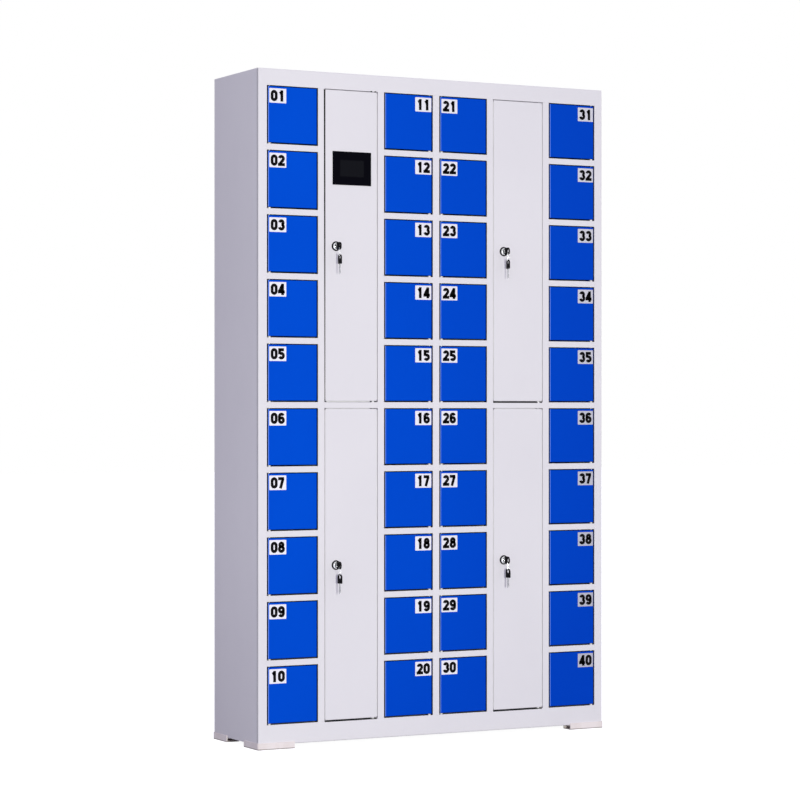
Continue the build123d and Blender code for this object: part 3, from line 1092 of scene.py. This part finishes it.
@dataclass
class CamLock:
    """A service door's cam lock, with one key in it and another hanging from that one."""

    chrome: bpy.types.Material
    zinc: bpy.types.Material
    steel: bpy.types.Material
    plastic: bpy.types.Material
    plug_radius: float = 6 * MM
    plug_front: float = 3.9 * MM
    keyway: Point = (2.4 * MM, 8.6 * MM)
    keyway_depth: float = 10 * MM
    cam_depth: float = 21 * MM
    cam_thickness: float = 2 * MM
    cam_reach: float = 44 * MM
    cam_width: float = 14 * MM
    head_length: float = 27 * MM
    head_width: float = 22 * MM
    head_thickness: float = 3.4 * MM
    head_back: float = 7 * MM
    blade_tuck: float = 12 * MM
    hole_radius: float = 4.8 * MM
    hole_inset: float = 8.5 * MM
    blade_length: float = 30 * MM
    blade_width: float = 7.6 * MM
    blade_thickness: float = 1.9 * MM
    loop_length: float = 25 * MM
    loop_wire: float = 0.4 * MM
    gasket_radius: float = 13.8 * MM
    gasket_height: float = 0.9 * MM
    gasket_bore: float = 10.05 * MM
    nut_radius: float = 6.2 * MM
    nut_height: float = 2.6 * MM

    def key_head(self) -> Piece:
        """A key's moulded head, flat, its blade end at y = 0 and its arch towards +y."""
        head = Piece()
        arch, heel = 9.4 * MM, 2.4 * MM
        width, length, thickness = self.head_width, self.head_length, self.head_thickness
        outline = head.plate(width, length, (heel, heel, arch, arch), segments=6)
        head.shift(outline, (0, length / 2, 0))
        hole = head.circle(self.hole_radius, 24)
        head.shift(hole, (0, length - self.hole_inset, 0))
        head.pierced(outline, hole)
        head.raise_up(head.mesh.faces[:], thickness)
        head.rounded(0.9 * MM, 3)
        grip, proud = Piece(), 0.5 * MM
        grip.plate(width * 0.56, length * 0.30, (1.2 * MM,) * 4, thickness + 2 * proud)
        grip.shift(grip.mesh.verts, (0, length * 0.27, -proud))
        grip.rounded(0.35 * MM, 2)
        head.add(grip.data("grip"))
        head.place(Matrix.Translation((0, 0, -thickness / 2)))
        return head

    def key_blade(self) -> Piece:
        """A key's steel blade, flat, from y = 0 down, with its cuts along one edge."""
        blade = Piece()
        half, length, root = self.blade_width / 2, self.blade_length, 3 * MM
        tip = [(half, -length + 2 * MM), (0.8 * MM, -length), (-half, -length + 3 * MM)]
        cuts = []
        for step, depth in enumerate((1.1, 2.2, 0.8, 1.7, 1.3)):
            x, y = -half + depth * MM, -length + (6.5 + 4.2 * step) * MM
            cuts += [(x, y - 1.1 * MM), (x, y + 0.4 * MM), (-half, y + 1.6 * MM)]
        blade.outlined([(half, root)] + tip + cuts + [(-half, root)], self.blade_thickness)
        blade.place(Matrix.Translation((0, 0, -self.blade_thickness / 2)))
        blade.rounded(0.18 * MM, 1)
        return blade

    def bezel(self) -> Piece:
        """The ring round the plug, turned about z with its front towards +z."""
        ring = Piece()
        bore, seat = self.plug_radius + 0.15 * MM, self.gasket_height
        dome = ((6.9, 5.7), (8.0, 5.2), (9.2, 4.5), (9.9, 3.9), (10.3, 3.2), (10.45, 2.3))
        profile = [(bore, -0.4 * MM), (bore, 5.3 * MM), (bore + 0.3 * MM, 5.7 * MM)]
        profile += [(radius * MM, height * MM) for radius, height in dome]
        ring.turned(profile + [(10.5 * MM, seat), (self.gasket_bore, seat)], 48)
        return ring

    def gasket(self) -> Piece:
        """The rubber ring between the bezel and the door, turned as the bezel is."""
        ring = Piece()
        inner, outer = self.gasket_bore, self.gasket_radius
        low, high, corner = 0.02 * MM, self.gasket_height, 0.4 * MM
        ring.turned([
            (inner, low), (inner, high), (outer - corner, high), (outer, high - corner),
            (outer, low), (inner, low),
        ])
        return ring

    def plug(self) -> Piece:
        """The turning plug with its keyway, about z as the bezel is."""
        plug = Piece()
        rim = plug.circle(self.plug_radius, 32)
        slot = plug.plate(*self.keyway, (0.5 * MM,) * 4, segments=2)
        plug.pierced(rim, slot)
        plug.shift(plug.mesh.verts, (0, 0, self.plug_front))
        for loop, depth in ((rim, self.plug_front + self.cam_depth), (slot, self.keyway_depth)):
            edges = {edge for vert in loop for edge in vert.link_edges if edge.is_boundary}
            made = bmesh.ops.extrude_edge_only(plug.mesh, edges=list(edges))["geom"]
            plug.shift(verts_in(made), (0, 0, -depth))
            end = [item for item in made if isinstance(item, bmesh.types.BMEdge)]
            bmesh.ops.contextual_create(plug.mesh, geom=end)
        plug.rounded(0.25 * MM, 2)
        return plug

    def cam(self) -> Piece:
        """The cam hanging from the plug's end, with the nut that holds it."""
        cam = Piece()
        hub, tip = self.cam_width / 2, self.cam_width / 3.2
        height, corners = hub + self.cam_reach, (tip, tip, hub * 0.7, hub * 0.7)
        bar = cam.plate(self.cam_width, height, corners, self.cam_thickness, 5)
        cam.shift(bar, (0, height / 2 - self.cam_reach, -self.cam_depth))
        cam.rounded(0.25 * MM, 1)
        nut = Piece()
        nut.circle(self.nut_radius, 6, filled=True)
        nut.raise_up(nut.mesh.faces[:], self.nut_height)
        nut.rounded(0.4 * MM, 1, 40)
        cam.add(nut.data("nut"), Matrix.Translation((0, 0, -self.cam_depth - self.nut_height)))
        return cam

    def loop(self) -> Piece:
        """The wire loop between the keys, upright in the x-z plane, its top at z = 0."""
        loop = Piece()
        half = self.head_thickness / 2 + 2.1 * self.loop_wire
        centre = half - self.loop_length
        path = Pen(loop.mesh, (-half, centre)).to(-half, -half).round(0, -half, -180)
        path.to(half, centre).round(0, centre, -180)
        bmesh.ops.remove_doubles(loop.mesh, verts=loop.mesh.verts, dist=0.01 * MM)
        line = loop.raw("loop")
        holder = placed("loop", line)
        holder.modifiers.new("wire", "SKIN").use_smooth_shade = True
        for point in line.skin_vertices[0].data:
            point.radius = (self.loop_wire, self.loop_wire)
        holder.modifiers.new("round", "SUBSURF").levels = 1
        piece = Piece()
        piece.add(settled(holder), STANDING)
        return piece

    def build(self, storey: str, bay: str, swing: float) -> None:
        """Makes one lock with its keys.

        Args:
            storey: "upper" or "lower".
            bay: "left" or "right".
            swing: how far the hanging key has turned about the upright, in degrees.
        """
        door = SERVICE_DOORS[storey, bay]
        turning, end = f"lock_plug_{storey}_{bay}", f"{storey}_{bay}"
        axis = door.lock_axis()
        spot = Matrix.Translation(axis) @ STANDING
        # The key in the lock points back into it, its flat sides to the left and right, and its
        # blade is tucked into the head, to end in the plug.
        pointing = Matrix(((0, 0, 1, 0), (0, -1, 0, 0), (1, 0, 0, 0), (0, 0, 0, 1)))
        seat = Matrix.Translation(axis - Vector((0, self.head_back, 0))) @ pointing
        tucked = seat @ Matrix.Translation((0, self.blade_tuck, 0))
        # The loop rests in that key's hole, and the spare key hangs from the loop's foot.
        hole = axis - Vector((0, self.head_back + self.head_length - self.hole_inset, 0))
        rest = hole - Vector((0, 0, self.hole_radius - 2 * self.loop_wire))
        foot = rest - Vector((0, 0, self.loop_length - 2 * self.loop_wire))
        turn = Matrix.Rotation(math.radians(swing + 90), 4, "Z")
        edge = Matrix.Translation((0, self.hole_inset - self.hole_radius - self.head_length, 0))
        hang = Matrix.Translation(foot) @ turn @ STANDING @ edge
        pieces = [
            ("lock_bezel", self.bezel(), spot, self.chrome, door.body, "lock_chrome"),
            ("lock_gasket", self.gasket(), spot, self.plastic, door.body, "key_plastic"),
            ("lock_face", self.plug(), spot, self.chrome, turning, "lock_chrome"),
            ("lock_cam", self.cam(), spot, self.zinc, turning, "lock_chrome"),
            ("key_head", self.key_head(), seat, self.plastic, turning, "key_plastic"),
            ("key_blade", self.key_blade(), tucked, self.steel, turning, "key_steel"),
            ("key_loop", self.loop(), Matrix.Translation(rest), self.steel, door.body, "key_steel"),
            ("spare_head", self.key_head(), hang, self.plastic, door.body, "key_plastic"),
            ("spare_blade", self.key_blade(), hang, self.steel, door.body, "key_steel"),
        ]
        for name, piece, matrix, finish, body, slot in pieces:
            piece.place(matrix)
            made = show(f"{name}_{end}", piece.data(name), finish, body)
            if name == "lock_face":
                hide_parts(turning)


# Small fittings


@dataclass(frozen=True)
class Bar:
    """A bar between its lower left and its upper right corner, seen from in front.

    Foot is how far its left and its right side stand further right at the foot.
    """

    low: Point
    high: Point
    front: float
    depth: float
    edge: float = 0.25 * MM
    foot: Point = (0.0, 0.0)

    def mesh(self) -> bpy.types.Mesh:
        """The bar as a mesh, its edges rounded."""
        bar = Piece()
        (left, bottom), (right, top) = self.low, self.high
        middle, height = (left + right) / 2, top - bottom
        bar.plate(right - left, self.depth, thickness=height)
        bar.place(Matrix.Translation((middle, self.front + self.depth / 2, bottom)))
        lower = [vert for vert in bar.mesh.verts if vert.co.z < bottom + height / 2]
        for shift, side in zip(self.foot, (-1, 1)):
            flank = [vert for vert in lower if (vert.co.x - middle) * side > 0]
            bar.shift(flank, (shift, 0, 0))
        bar.rounded(self.edge, 2)
        return bar.data("bar")

    @staticmethod
    def joined(bars: Iterable[Bar], name: str) -> bpy.types.Mesh:
        """Joins bars.

        Args:
            bars: the bars.
            name: the name of what they make together.

        Returns:
            One mesh of them all.
        """
        piece = Piece()
        for bar in bars:
            piece.add(bar.mesh())
        return piece.data(name)


@dataclass
class Fittings:
    """Washers, strips and buffers round the doors, latch covers and back screws.

    The dark strips under and beside the service doors, on the frame's opening edges and on the
    frame's bars are painted shade: dark pieces that stand in for the shadow in the gaps round the
    doors. The light strips on the service doors are painted light, pale pieces that make those gaps
    read lit. A gap strip is thin over a door, thick under it and broad from front to back. The
    frame's strips reach outside and inside the opening's edge, and back. The bar strips are set
    back, broad and thin.
    """

    nylon: bpy.types.Material
    zinc: bpy.types.Material
    rubber: bpy.types.Material
    rod_radius: float = 2 * MM
    rod_play: float = 0.08 * MM
    washer_radius: float = 4.2 * MM
    washer_height: float = 3.2 * MM
    rod_depth: float = 5 * MM
    phone_inset: float = 6.5 * MM
    service_inset: float = 11 * MM
    latch_width: float = 14.3 * MM
    latch_front: float = 17.5 * MM
    latch_offset: float = 0.1 * MM
    mouth_wall: float = 2 * MM
    mouth: Point = (7.5 * MM, 24 * MM)
    cover: Point = (14 * MM, 56 * MM)
    cover_thickness: float = 0.6 * MM
    cover_screw: float = 20 * MM
    cover_screw_size: float = 0.62
    gap_strip: tuple[float, float, float] = (1.2 * MM, 1.6 * MM, 10 * MM)
    gap_strip_depth: float = 1.1 * MM
    gap_strip_inset: float = 4 * MM
    lip: tuple[float, float, float] = (1.4 * MM, 0.6 * MM, 5 * MM)
    lip_front: float = 0.4 * MM
    shade_tape: tuple[float, float, float] = (0.5 * MM, 12 * MM, 0.12 * MM)
    shade_tape_end: float = 0.3 * MM
    dark_side: tuple[str, str] = ("upper", "left")
    light_sides: Point = (1.0 * MM, 1.7 * MM)
    side_lip: float = 2.1 * MM
    taper: Point = (2.1 * MM, -0.25 * MM)
    taper_end: float = 0.35 * MM
    buffer: tuple[float, float, float] = (5 * MM, 6 * MM, 3 * MM)
    buffer_offset: float = 6.4 * MM
    buffer_front: float = 0.2 * MM
    buffer_base: float = 0.3 * MM
    screw_radius: float = 3.6 * MM
    screw_height: float = 1.9 * MM
    screw_inset: float = 7.5 * MM

    def washers(self) -> None:
        """A nylon washer on the rod under every door."""
        ring, rows = Piece(), Piece()
        inner, outer, high = self.rod_radius + self.rod_play, self.washer_radius, self.washer_height
        ring.turned([(inner, 0.0), (inner, high), (outer, high), (outer, 0.0), (inner, 0.0)], 20)
        single = ring.data("washer")
        for door in PHONE_DOORS + list(SERVICE_DOORS.values()):
            inset = self.phone_inset if door.body.startswith("phone") else self.service_inset
            x = door.hinge_edge() - door.hinge.value * inset
            z = door.low.z - (FOOT_GAP + high) / 2
            rows.add(single, Matrix.Translation((x, FACE + self.rod_depth, z)))
        show("hinge_washers", rows.data("hinge_washers"), self.nylon, "cabinet")

    def gap_strips(self) -> None:
        """Strips on the folded edges of the service doors: light ones, painted light that makes the
        gaps read lit, and dark ones, painted shade that stands in for the shadow in the gaps.

        The dark strip lies under every door but the one with the screen, and down that door's lock
        side, over the light strip there, where it runs out toward the foot.
        """
        thin, thick, broad = self.gap_strip
        inset, front, sides = self.gap_strip_inset, FACE + self.gap_strip_depth, self.light_sides
        for place, door in SERVICE_DOORS.items():
            low, high = door.low, door.high
            right = high.x - 2 * self.service_inset
            light_front = front + self.taper_end if place == self.dark_side else front
            under = (low.x + inset, low.z - 1.5 * thick), (right, low.z)
            spans = [
                ((low.x - sides[0], low.z + inset), (low.x, high.z - inset)),
                ((high.x, low.z + inset), (high.x + sides[1], high.z - inset)),
            ]
            if place == self.dark_side:
                spans.append(under)
                side = (low.x - thick, low.z + inset / 2), (low.x, high.z - inset / 2)
                foot = thick - self.taper_end, 0.0
                dark = Bar(*side, front, broad, self.taper_end / 3, foot)
            else:
                dark = Bar(*under, front, broad)
            if place[0] == "lower":
                spans.append(((low.x + inset, high.z), (right, high.z + thin)))
            # The light strips are pale pieces that make the gaps read lit: painted light.
            light = [Bar(*span, light_front, broad) for span in spans]
            # The dark strips are painted shade standing in for the shadow in the gaps.
            kinds = (
                ("dark_gap_strip", [dark], self.rubber, "key_plastic"),
                ("light_gap_strip", light, self.nylon, "washer_nylon"),
            )
            for name, bars, finish, slot in kinds:
                mesh = Bar.joined(bars, name)
                show(f"{name}_{place[0]}_{place[1]}", mesh, finish, door.body)

    def shade_edging(self) -> None:
        """Dark strips on the frame's opening edges, opposite the dark strips of the service doors:
        painted shade for the shadow in those gaps.
        """
        outside, inside, deep = self.lip
        front, bars = FACE - self.lip_front, []
        for place, door in SERVICE_DOORS.items():
            side, foot = door.low.x - SIDE_GAP, door.low.z - FOOT_GAP
            left, right = side + inside, door.high.x
            if place == self.dark_side:
                corners = (side - self.side_lip, foot), (left, door.high.z)
                bars.append(Bar(*corners, front, deep, self.taper_end / 3, self.taper))
                continue
            spans = [(left, right)]
            if place[0] == "upper":
                axis = right - self.service_inset
                spans = [(left, axis - self.washer_radius), (axis + self.washer_radius, right)]
            for start, end in spans:
                bars.append(Bar((start, foot - outside), (end, foot + inside), front, deep))
        # Painted shade: dark strips that stand in for the shadow in the service doors' gaps.
        mesh = Bar.joined(bars, "frame_shade_edging")
        show("frame_shade_edging", mesh, self.rubber, "cabinet")

    def shade_tapes(self) -> None:
        """Thin dark strips on the frame's bars over and under each phone door: painted shade for
        the shadow in the gaps there.
        """
        set_back, broad, thin = self.shade_tape
        bars, margin = [], SIDE_GAP - self.shade_tape_end
        for door in PHONE_DOORS:
            left, right = door.low.x - margin, door.high.x + margin
            for bottom in (door.low.z - FOOT_GAP, door.high.z + TOP_GAP - thin):
                corners = (left, bottom), (right, bottom + thin)
                bars.append(Bar(*corners, FACE + set_back, broad, thin / 4))
        # Painted shade: dark strips that stand in for the shadow in the phone doors' gaps.
        mesh = Bar.joined(bars, "bar_shade_tapes")
        show("bar_shade_tapes", mesh, self.rubber, "cabinet")

    def buffers(self) -> None:
        """Two rubber buffers over the door with the screen, one each side of its hinge rod."""
        door = SERVICE_DOORS[self.dark_side]
        width, depth, height = self.buffer
        bars, bottom = [], door.high.z + self.buffer_base
        for side in (-1, 1):
            left = door.high.x - self.service_inset + side * self.buffer_offset - width / 2
            corners = (left, bottom), (left + width, bottom + height)
            bars.append(Bar(*corners, FACE - self.buffer_front, depth))
        mesh = Bar.joined(bars, "door_buffers")
        show("door_buffers", mesh, self.rubber, "cabinet")

    def screw(self) -> bpy.types.Mesh:
        """A pan-head screw with a cross recess, its seat at z = 0."""
        head = Piece()
        radius, height = self.screw_radius, self.screw_height
        shares = ((0.0, 0.98), (0.45, 1.0), (0.8, 0.78), (1.0, 0.3), (1.0, 0.0))
        head.turned([(radius * out, height * up) for out, up in shares], 16)
        head.clean()
        for degrees in (0, 90):
            arm = bmesh.ops.create_cube(head.mesh, size=1.0)["verts"]
            turn = Matrix.Rotation(math.radians(degrees), 3, "Z")
            size = (radius * 0.9, radius * 0.2, height * 0.12)
            bmesh.ops.scale(head.mesh, vec=size, verts=arm)
            bmesh.ops.rotate(head.mesh, cent=(0, 0, 0), matrix=turn, verts=arm)
            head.shift(arm, (0, 0, height * 0.98))
        return head.data("screw")

    def latch_covers(self) -> None:
        """A plated cover with a mouth and two screws on the front of every latch unit."""
        cover, rows = Piece(), Piece()
        outline = cover.plate(*self.cover, (1.5 * MM,) * 4, segments=3)
        mouth = cover.plate(*self.mouth, (0.8 * MM,) * 4, segments=2)
        cover.pierced(outline, mouth)
        cover.raise_up(cover.mesh.faces[:], self.cover_thickness)
        cover.clean()
        single, screw = cover.data("cover"), self.screw()
        shrunk = Matrix.Scale(self.cover_screw_size, 4)
        inset = self.latch_width - self.mouth_wall - self.mouth[0] / 2
        inset -= SIDE_GAP - self.latch_offset
        for door in PHONE_DOORS:
            free_edge = door.high.x if door.hinge is Side.LEFT else door.low.x
            x = free_edge + door.hinge.value * inset
            centre = Matrix.Translation((x, FACE + self.latch_front, door.middle())) @ STANDING
            rows.add(single, centre)
            for y in (-self.cover_screw, self.cover_screw):
                seat = Matrix.Translation((0, y, self.cover_thickness * 0.9))
                rows.add(screw, centre @ seat @ shrunk)
        show("latch_covers", rows.data("latch_covers"), self.zinc, "cabinet")

    def back_screws(self) -> None:
        """Screws through the folded edges into the back panel."""
        screw, rows = self.screw(), Piece()
        low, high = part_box("side_panels")
        inset, spots = self.screw_inset, []
        facing_back = Matrix.Rotation(math.radians(-90), 4, "X")
        for z in spread(low.z, high.z, 60 * MM, 9):
            spots += [(low.x + inset, z), (high.x - inset, z)]
        for x in spread(low.x, high.x, 150 * MM, 5):
            spots += [(x, low.z + inset), (x, high.z - inset)]
        for x, z in spots:
            rows.add(screw, Matrix.Translation((x, high.y, z)) @ facing_back)
        show("back_screws", rows.data("back_screws"), self.zinc, "cabinet")

    def build(self) -> None:
        """Makes all the small fittings."""
        self.washers()
        self.gap_strips()
        self.shade_edging()
        self.shade_tapes()
        self.buffers()
        self.latch_covers()
        self.back_screws()


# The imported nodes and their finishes


@dataclass
class Dressing:
    """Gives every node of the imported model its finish."""

    pan_depth: float = 16.2 * MM
    steel: float = 1.2 * MM
    frame_lap: float = 6.5 * MM
    panel_seam: float = 2 * MM
    bays: Point = (181 * MM, 373 * MM)
    display: Point = (76 * MM, 47 * MM)
    screen_lip: float = 2.5 * MM
    white: Display = (229, 227, 231)
    white_shade: Display = (221, 219, 224)

    def apply(self, nodes: Iterable[str], finish: bpy.types.Material) -> None:
        """Puts a finish on nodes.

        Args:
            nodes: their names.
            finish: the material that replaces theirs.
        """
        for name in nodes:
            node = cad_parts[name]
            if not node.data.materials:
                node.data.materials.append(finish)
            for slot in node.material_slots:
                slot.link = "OBJECT"
                slot.material = finish
            LOG.info("%s: %s", name, finish.name)

    def white_paint(self, name: str, **details: object) -> bpy.types.Material:
        """The white of the frame, the service doors and the inside."""
        return PowderCoat(name, self.white, self.white_shade, **details).material()

    def carcass(self) -> None:
        """Paints the frame, the outer panels and the inside."""
        first, last = PHONE_DOORS[9], PHONE_DOORS[30]
        side, top, bottom = (gap + self.steel for gap in (SIDE_GAP, TOP_GAP, FOOT_GAP))
        # Painted shade in the frame's returns round the doors, standing in for the shadow in the
        # gaps.
        folds = PaintedGapShade(
            FACE + 2.6 * MM, (24, 32, 72), 1.0 * MM, (first.low.x - side, first.low.z - bottom),
            (last.high.x + side, last.high.z + top), self.bays,
        )
        # Painted shade: the outer panels darken toward the back and the foot as the light falls
        # off, and their cut front edge is painted dark as shade in the seam behind the frame.
        toward_foot = PaintedFalloff((206, 203, 210), back=1.17, down=0.55, start=0.175)
        body_paint = PowderCoat(
            "white_body_paint", (239, 237, 241), (231, 229, 234), gloss=0.3, painted_falloff=toward_foot,
            cut=FACE + self.frame_lap + self.panel_seam + 0.15 * MM,
        )
        frame_paint = self.white_paint("white_frame_paint", gloss=0.5, folds=folds)
        self.apply(["front_frame"], frame_paint)
        panels = ["side_panels", "top_panel", "base_panel", "back_panel"]
        self.apply(panels, body_paint.material())
        inner_paint = self.white_paint("white_inner_paint", gloss=0.3)
        self.apply(["column_partitions", "compartment_shelves"], inner_paint)

    def doors(self) -> None:
        """Paints the service doors and the phone doors, plated where their steel shows unpainted.
        """
        axes = [door.lock_axis() for door in SERVICE_DOORS.values()]
        locks = Plating(lock_axes=tuple((axis.x, axis.z) for axis in axes), face=FACE)
        door_paint = self.white_paint("white_door_paint", gloss=0.3, plating=locks)
        self.apply([door.body for door in SERVICE_DOORS.values()], door_paint)
        # The blue has painted shade in its returns, bevels and right-hand rim, a painted highlight
        # inside its left-hand bevel, and painted shade darkening it toward the right and the foot.
        blue_paint = PowderCoat(
            "blue_door_paint", (0, 78, 210), (0, 73, 202), gloss=0.15,
            sheen_tint=(60, 120, 255), plating=Plating(behind=FACE + self.pan_depth),
            folds=PaintedGapShade(FACE + 1.7 * MM, (0, 20, 64), bevels=FACE + 0.15 * MM),
            painted_falloff=PaintedFalloff((0, 64, 190), across=0.9, down=0.3, start=0.4),
        )
        self.apply([door.body for door in PHONE_DOORS], blue_paint.material())

    def build(self) -> None:
        """Dresses the carcass, the doors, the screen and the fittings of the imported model."""
        self.carcass()
        self.doors()
        low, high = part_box("touch_screen")
        centre = ((low.x + high.x) / 2, (low.z + high.z) / 2)
        rest = {
            "touch_screen": ScreenFace(
                "screen_panel", centre, self.display, low.y + self.screen_lip,
            ),
            "hinge_rods": Metal(
                "rod_steel", (196, 198, 202), (158, 160, 165), 0.28, (1, 1, 60),
            ),
            "latch_units": Moulded("latch_plastic", (34, 35, 38), (26, 27, 30)),
            "control_unit": Moulded("control_plastic", (150, 152, 156), (138, 140, 145)),
            # The feet carry painted shade at the floor, standing in for their contact shadow.
            "corner_feet": Moulded(
                "foot_plastic", (238, 230, 229), (232, 223, 221), 0.55, contact_shade=(84, 72, 68),
            ),
        }
        for name, finish in rest.items():
            self.apply([name], finish.material())


# Stage


@dataclass
class Studio:
    """Camera, lamp, surround, floor and the dark card that polished parts reflect."""

    camera_spot: tuple[float, float, float] = (-3.6917, -6.8496, 0.9579)
    camera_turn: float = -28.01
    far: float = 100.0
    lens: float = 118.4
    sensor: float = 36.0
    lens_shift: Point = (0.00036, 0.0121)
    ambient: float = 0.676
    ambient_tint: Colour = (0.84, 0.82, 1.0, 1.0)
    key_power: float = 248.0
    key_spot: tuple[float, float, float] = (-1.2, -6.8, 0.9)
    key_aim: tuple[float, float, float] = (0.0, 0.0, 1.0)
    key_size: float = 1.0
    key_tint: tuple[float, float, float] = (1.0, 1.0, 0.92)
    floor_size: float = 30.0
    floor_grey: Colour = (0.42, 0.42, 0.43, 1.0)
    floor_glow: float = 0.93
    card_size: Point = (9.0, 8.0)
    card_spot: tuple[float, float, float] = (5.5, -6.0, 1.5)
    card_turn: float = -45.0

    def camera(self) -> None:
        """Sets the camera up, level, to the left of the cabinet's front."""
        data = bpy.data.cameras.new("camera")
        data.lens, data.sensor_width, data.sensor_fit = self.lens, self.sensor, "HORIZONTAL"
        data.shift_x, data.shift_y = self.lens_shift
        data.clip_end = self.far
        camera = placed("camera", data)
        camera.location = self.camera_spot
        camera.rotation_euler = (math.radians(90), 0.0, math.radians(self.camera_turn))
        bpy.context.scene.camera = camera

    def world(self) -> None:
        """A white surround for what is seen and reflected, at a plain level as light."""
        world = bpy.data.worlds.new("surround")
        world.use_nodes = True
        bpy.context.scene.world = world
        sheet = Sheet(world.node_tree)
        path = sheet.node("ShaderNodeLightPath", {}, {}, "Is Camera Ray")
        seen = path + path.beside("Is Glossy Ray") + path.beside("Is Transmission Ray")
        seen = seen.above(0.5, 0.1)
        level = seen * (1 - self.ambient) + self.ambient
        tone = sheet.blend(self.ambient_tint, WHITE, seen)
        surround = sheet.node("ShaderNodeBackground", {}, {"Color": tone, "Strength": level})
        sheet.close(surround, "ShaderNodeOutputWorld")

    def floor(self) -> None:
        """A white floor that keeps a faint shadow."""
        piece = Piece()
        bmesh.ops.create_grid(piece.mesh, x_segments=1, y_segments=1, size=self.floor_size)
        material, sheet = new_sheet("floor_white")
        path = sheet.node("ShaderNodeLightPath", {}, {}, "Is Camera Ray")
        seen = (path + path.beside("Is Glossy Ray")).above(0.5, 0.1)
        grey = sheet.node("ShaderNodeBsdfDiffuse", {}, {"Color": self.floor_grey})
        inputs = {"Color": WHITE, "Strength": seen * self.floor_glow}
        glow = sheet.node("ShaderNodeEmission", {}, inputs)
        sheet.close(sheet.node("ShaderNodeAddShader", {}, {0: grey, 1: glow}))
        floor = placed("floor", piece.raw("floor"))
        floor.data.materials.append(material)

    def card(self) -> None:
        """A black card to the right that only shows in reflections."""
        piece = Piece()
        piece.plate(*self.card_size)
        turn = Matrix.Rotation(math.radians(self.card_turn), 4, "Z")
        piece.place(Matrix.Translation(self.card_spot) @ turn @ STANDING)
        material, sheet = new_sheet("card_right")
        black = (0.0, 0.0, 0.0, 1.0)
        sheet.close(sheet.node("ShaderNodeEmission", {}, {"Color": black, "Strength": 1.0}))
        card = placed("card_right", piece.raw("card_right"))
        card.data.materials.append(material)
        card.visible_camera = card.visible_diffuse = False
        card.visible_shadow = card.visible_transmission = False

    def lamp(self) -> None:
        """One large soft lamp in front and to the left."""
        data = bpy.data.lights.new("key_lamp", "AREA")
        data.energy, data.size, data.color = self.key_power, self.key_size, self.key_tint
        lamp = placed("key_lamp", data)
        lamp.location = self.key_spot
        aim = Vector(self.key_aim) - Vector(self.key_spot)
        lamp.rotation_euler = aim.to_track_quat("-Z", "Y").to_euler()

    def build(self) -> None:
        """Sets the whole stage."""
        self.camera()
        self.world()
        self.floor()
        self.lamp()
        self.card()
        bpy.context.scene.view_settings.view_transform = "Standard"


def main() -> None:
    """Builds the stage, then every piece of the cabinet in order."""
    logging.basicConfig(level=logging.INFO, format="%(name)s %(message)s")
    Studio().build()
    Dressing().build()
    foil = Foil("plate_foil", (238, 237, 245), (216, 215, 224), (150, 152, 168)).material()
    NumberPlates(foil, Ink("number_ink").material()).build()
    chrome = Metal(
        "lock_chrome", (226, 227, 230), (205, 206, 210), 0.08, (1, 1, 1), 1.5 * MM, 0.002 * MM,
    )
    zinc = Metal("zinc_plate", (200, 201, 205), (170, 172, 177), 0.30, (1, 1, 8)).material()
    steel = Metal("key_steel", (205, 206, 209), (176, 178, 182), 0.2, (1, 1, 10), 0.3 * MM)
    rubber = Moulded("key_plastic", (8, 8, 10), (15, 15, 18), 0.45, 0.06).material()
    locks = CamLock(chrome.material(), zinc, steel.material(), rubber)
    for (storey, bay), swing in zip(PLACES, (-2.0, -6.0, 6.0, 4.0)):
        locks.build(storey, bay, swing)
    nylon = Moulded("washer_nylon", (238, 238, 236), (228, 228, 226), 0.4, 0.5, 0.3 * MM)
    Fittings(nylon.material(), zinc, rubber).build()


if __name__ == "__main__":
    main()
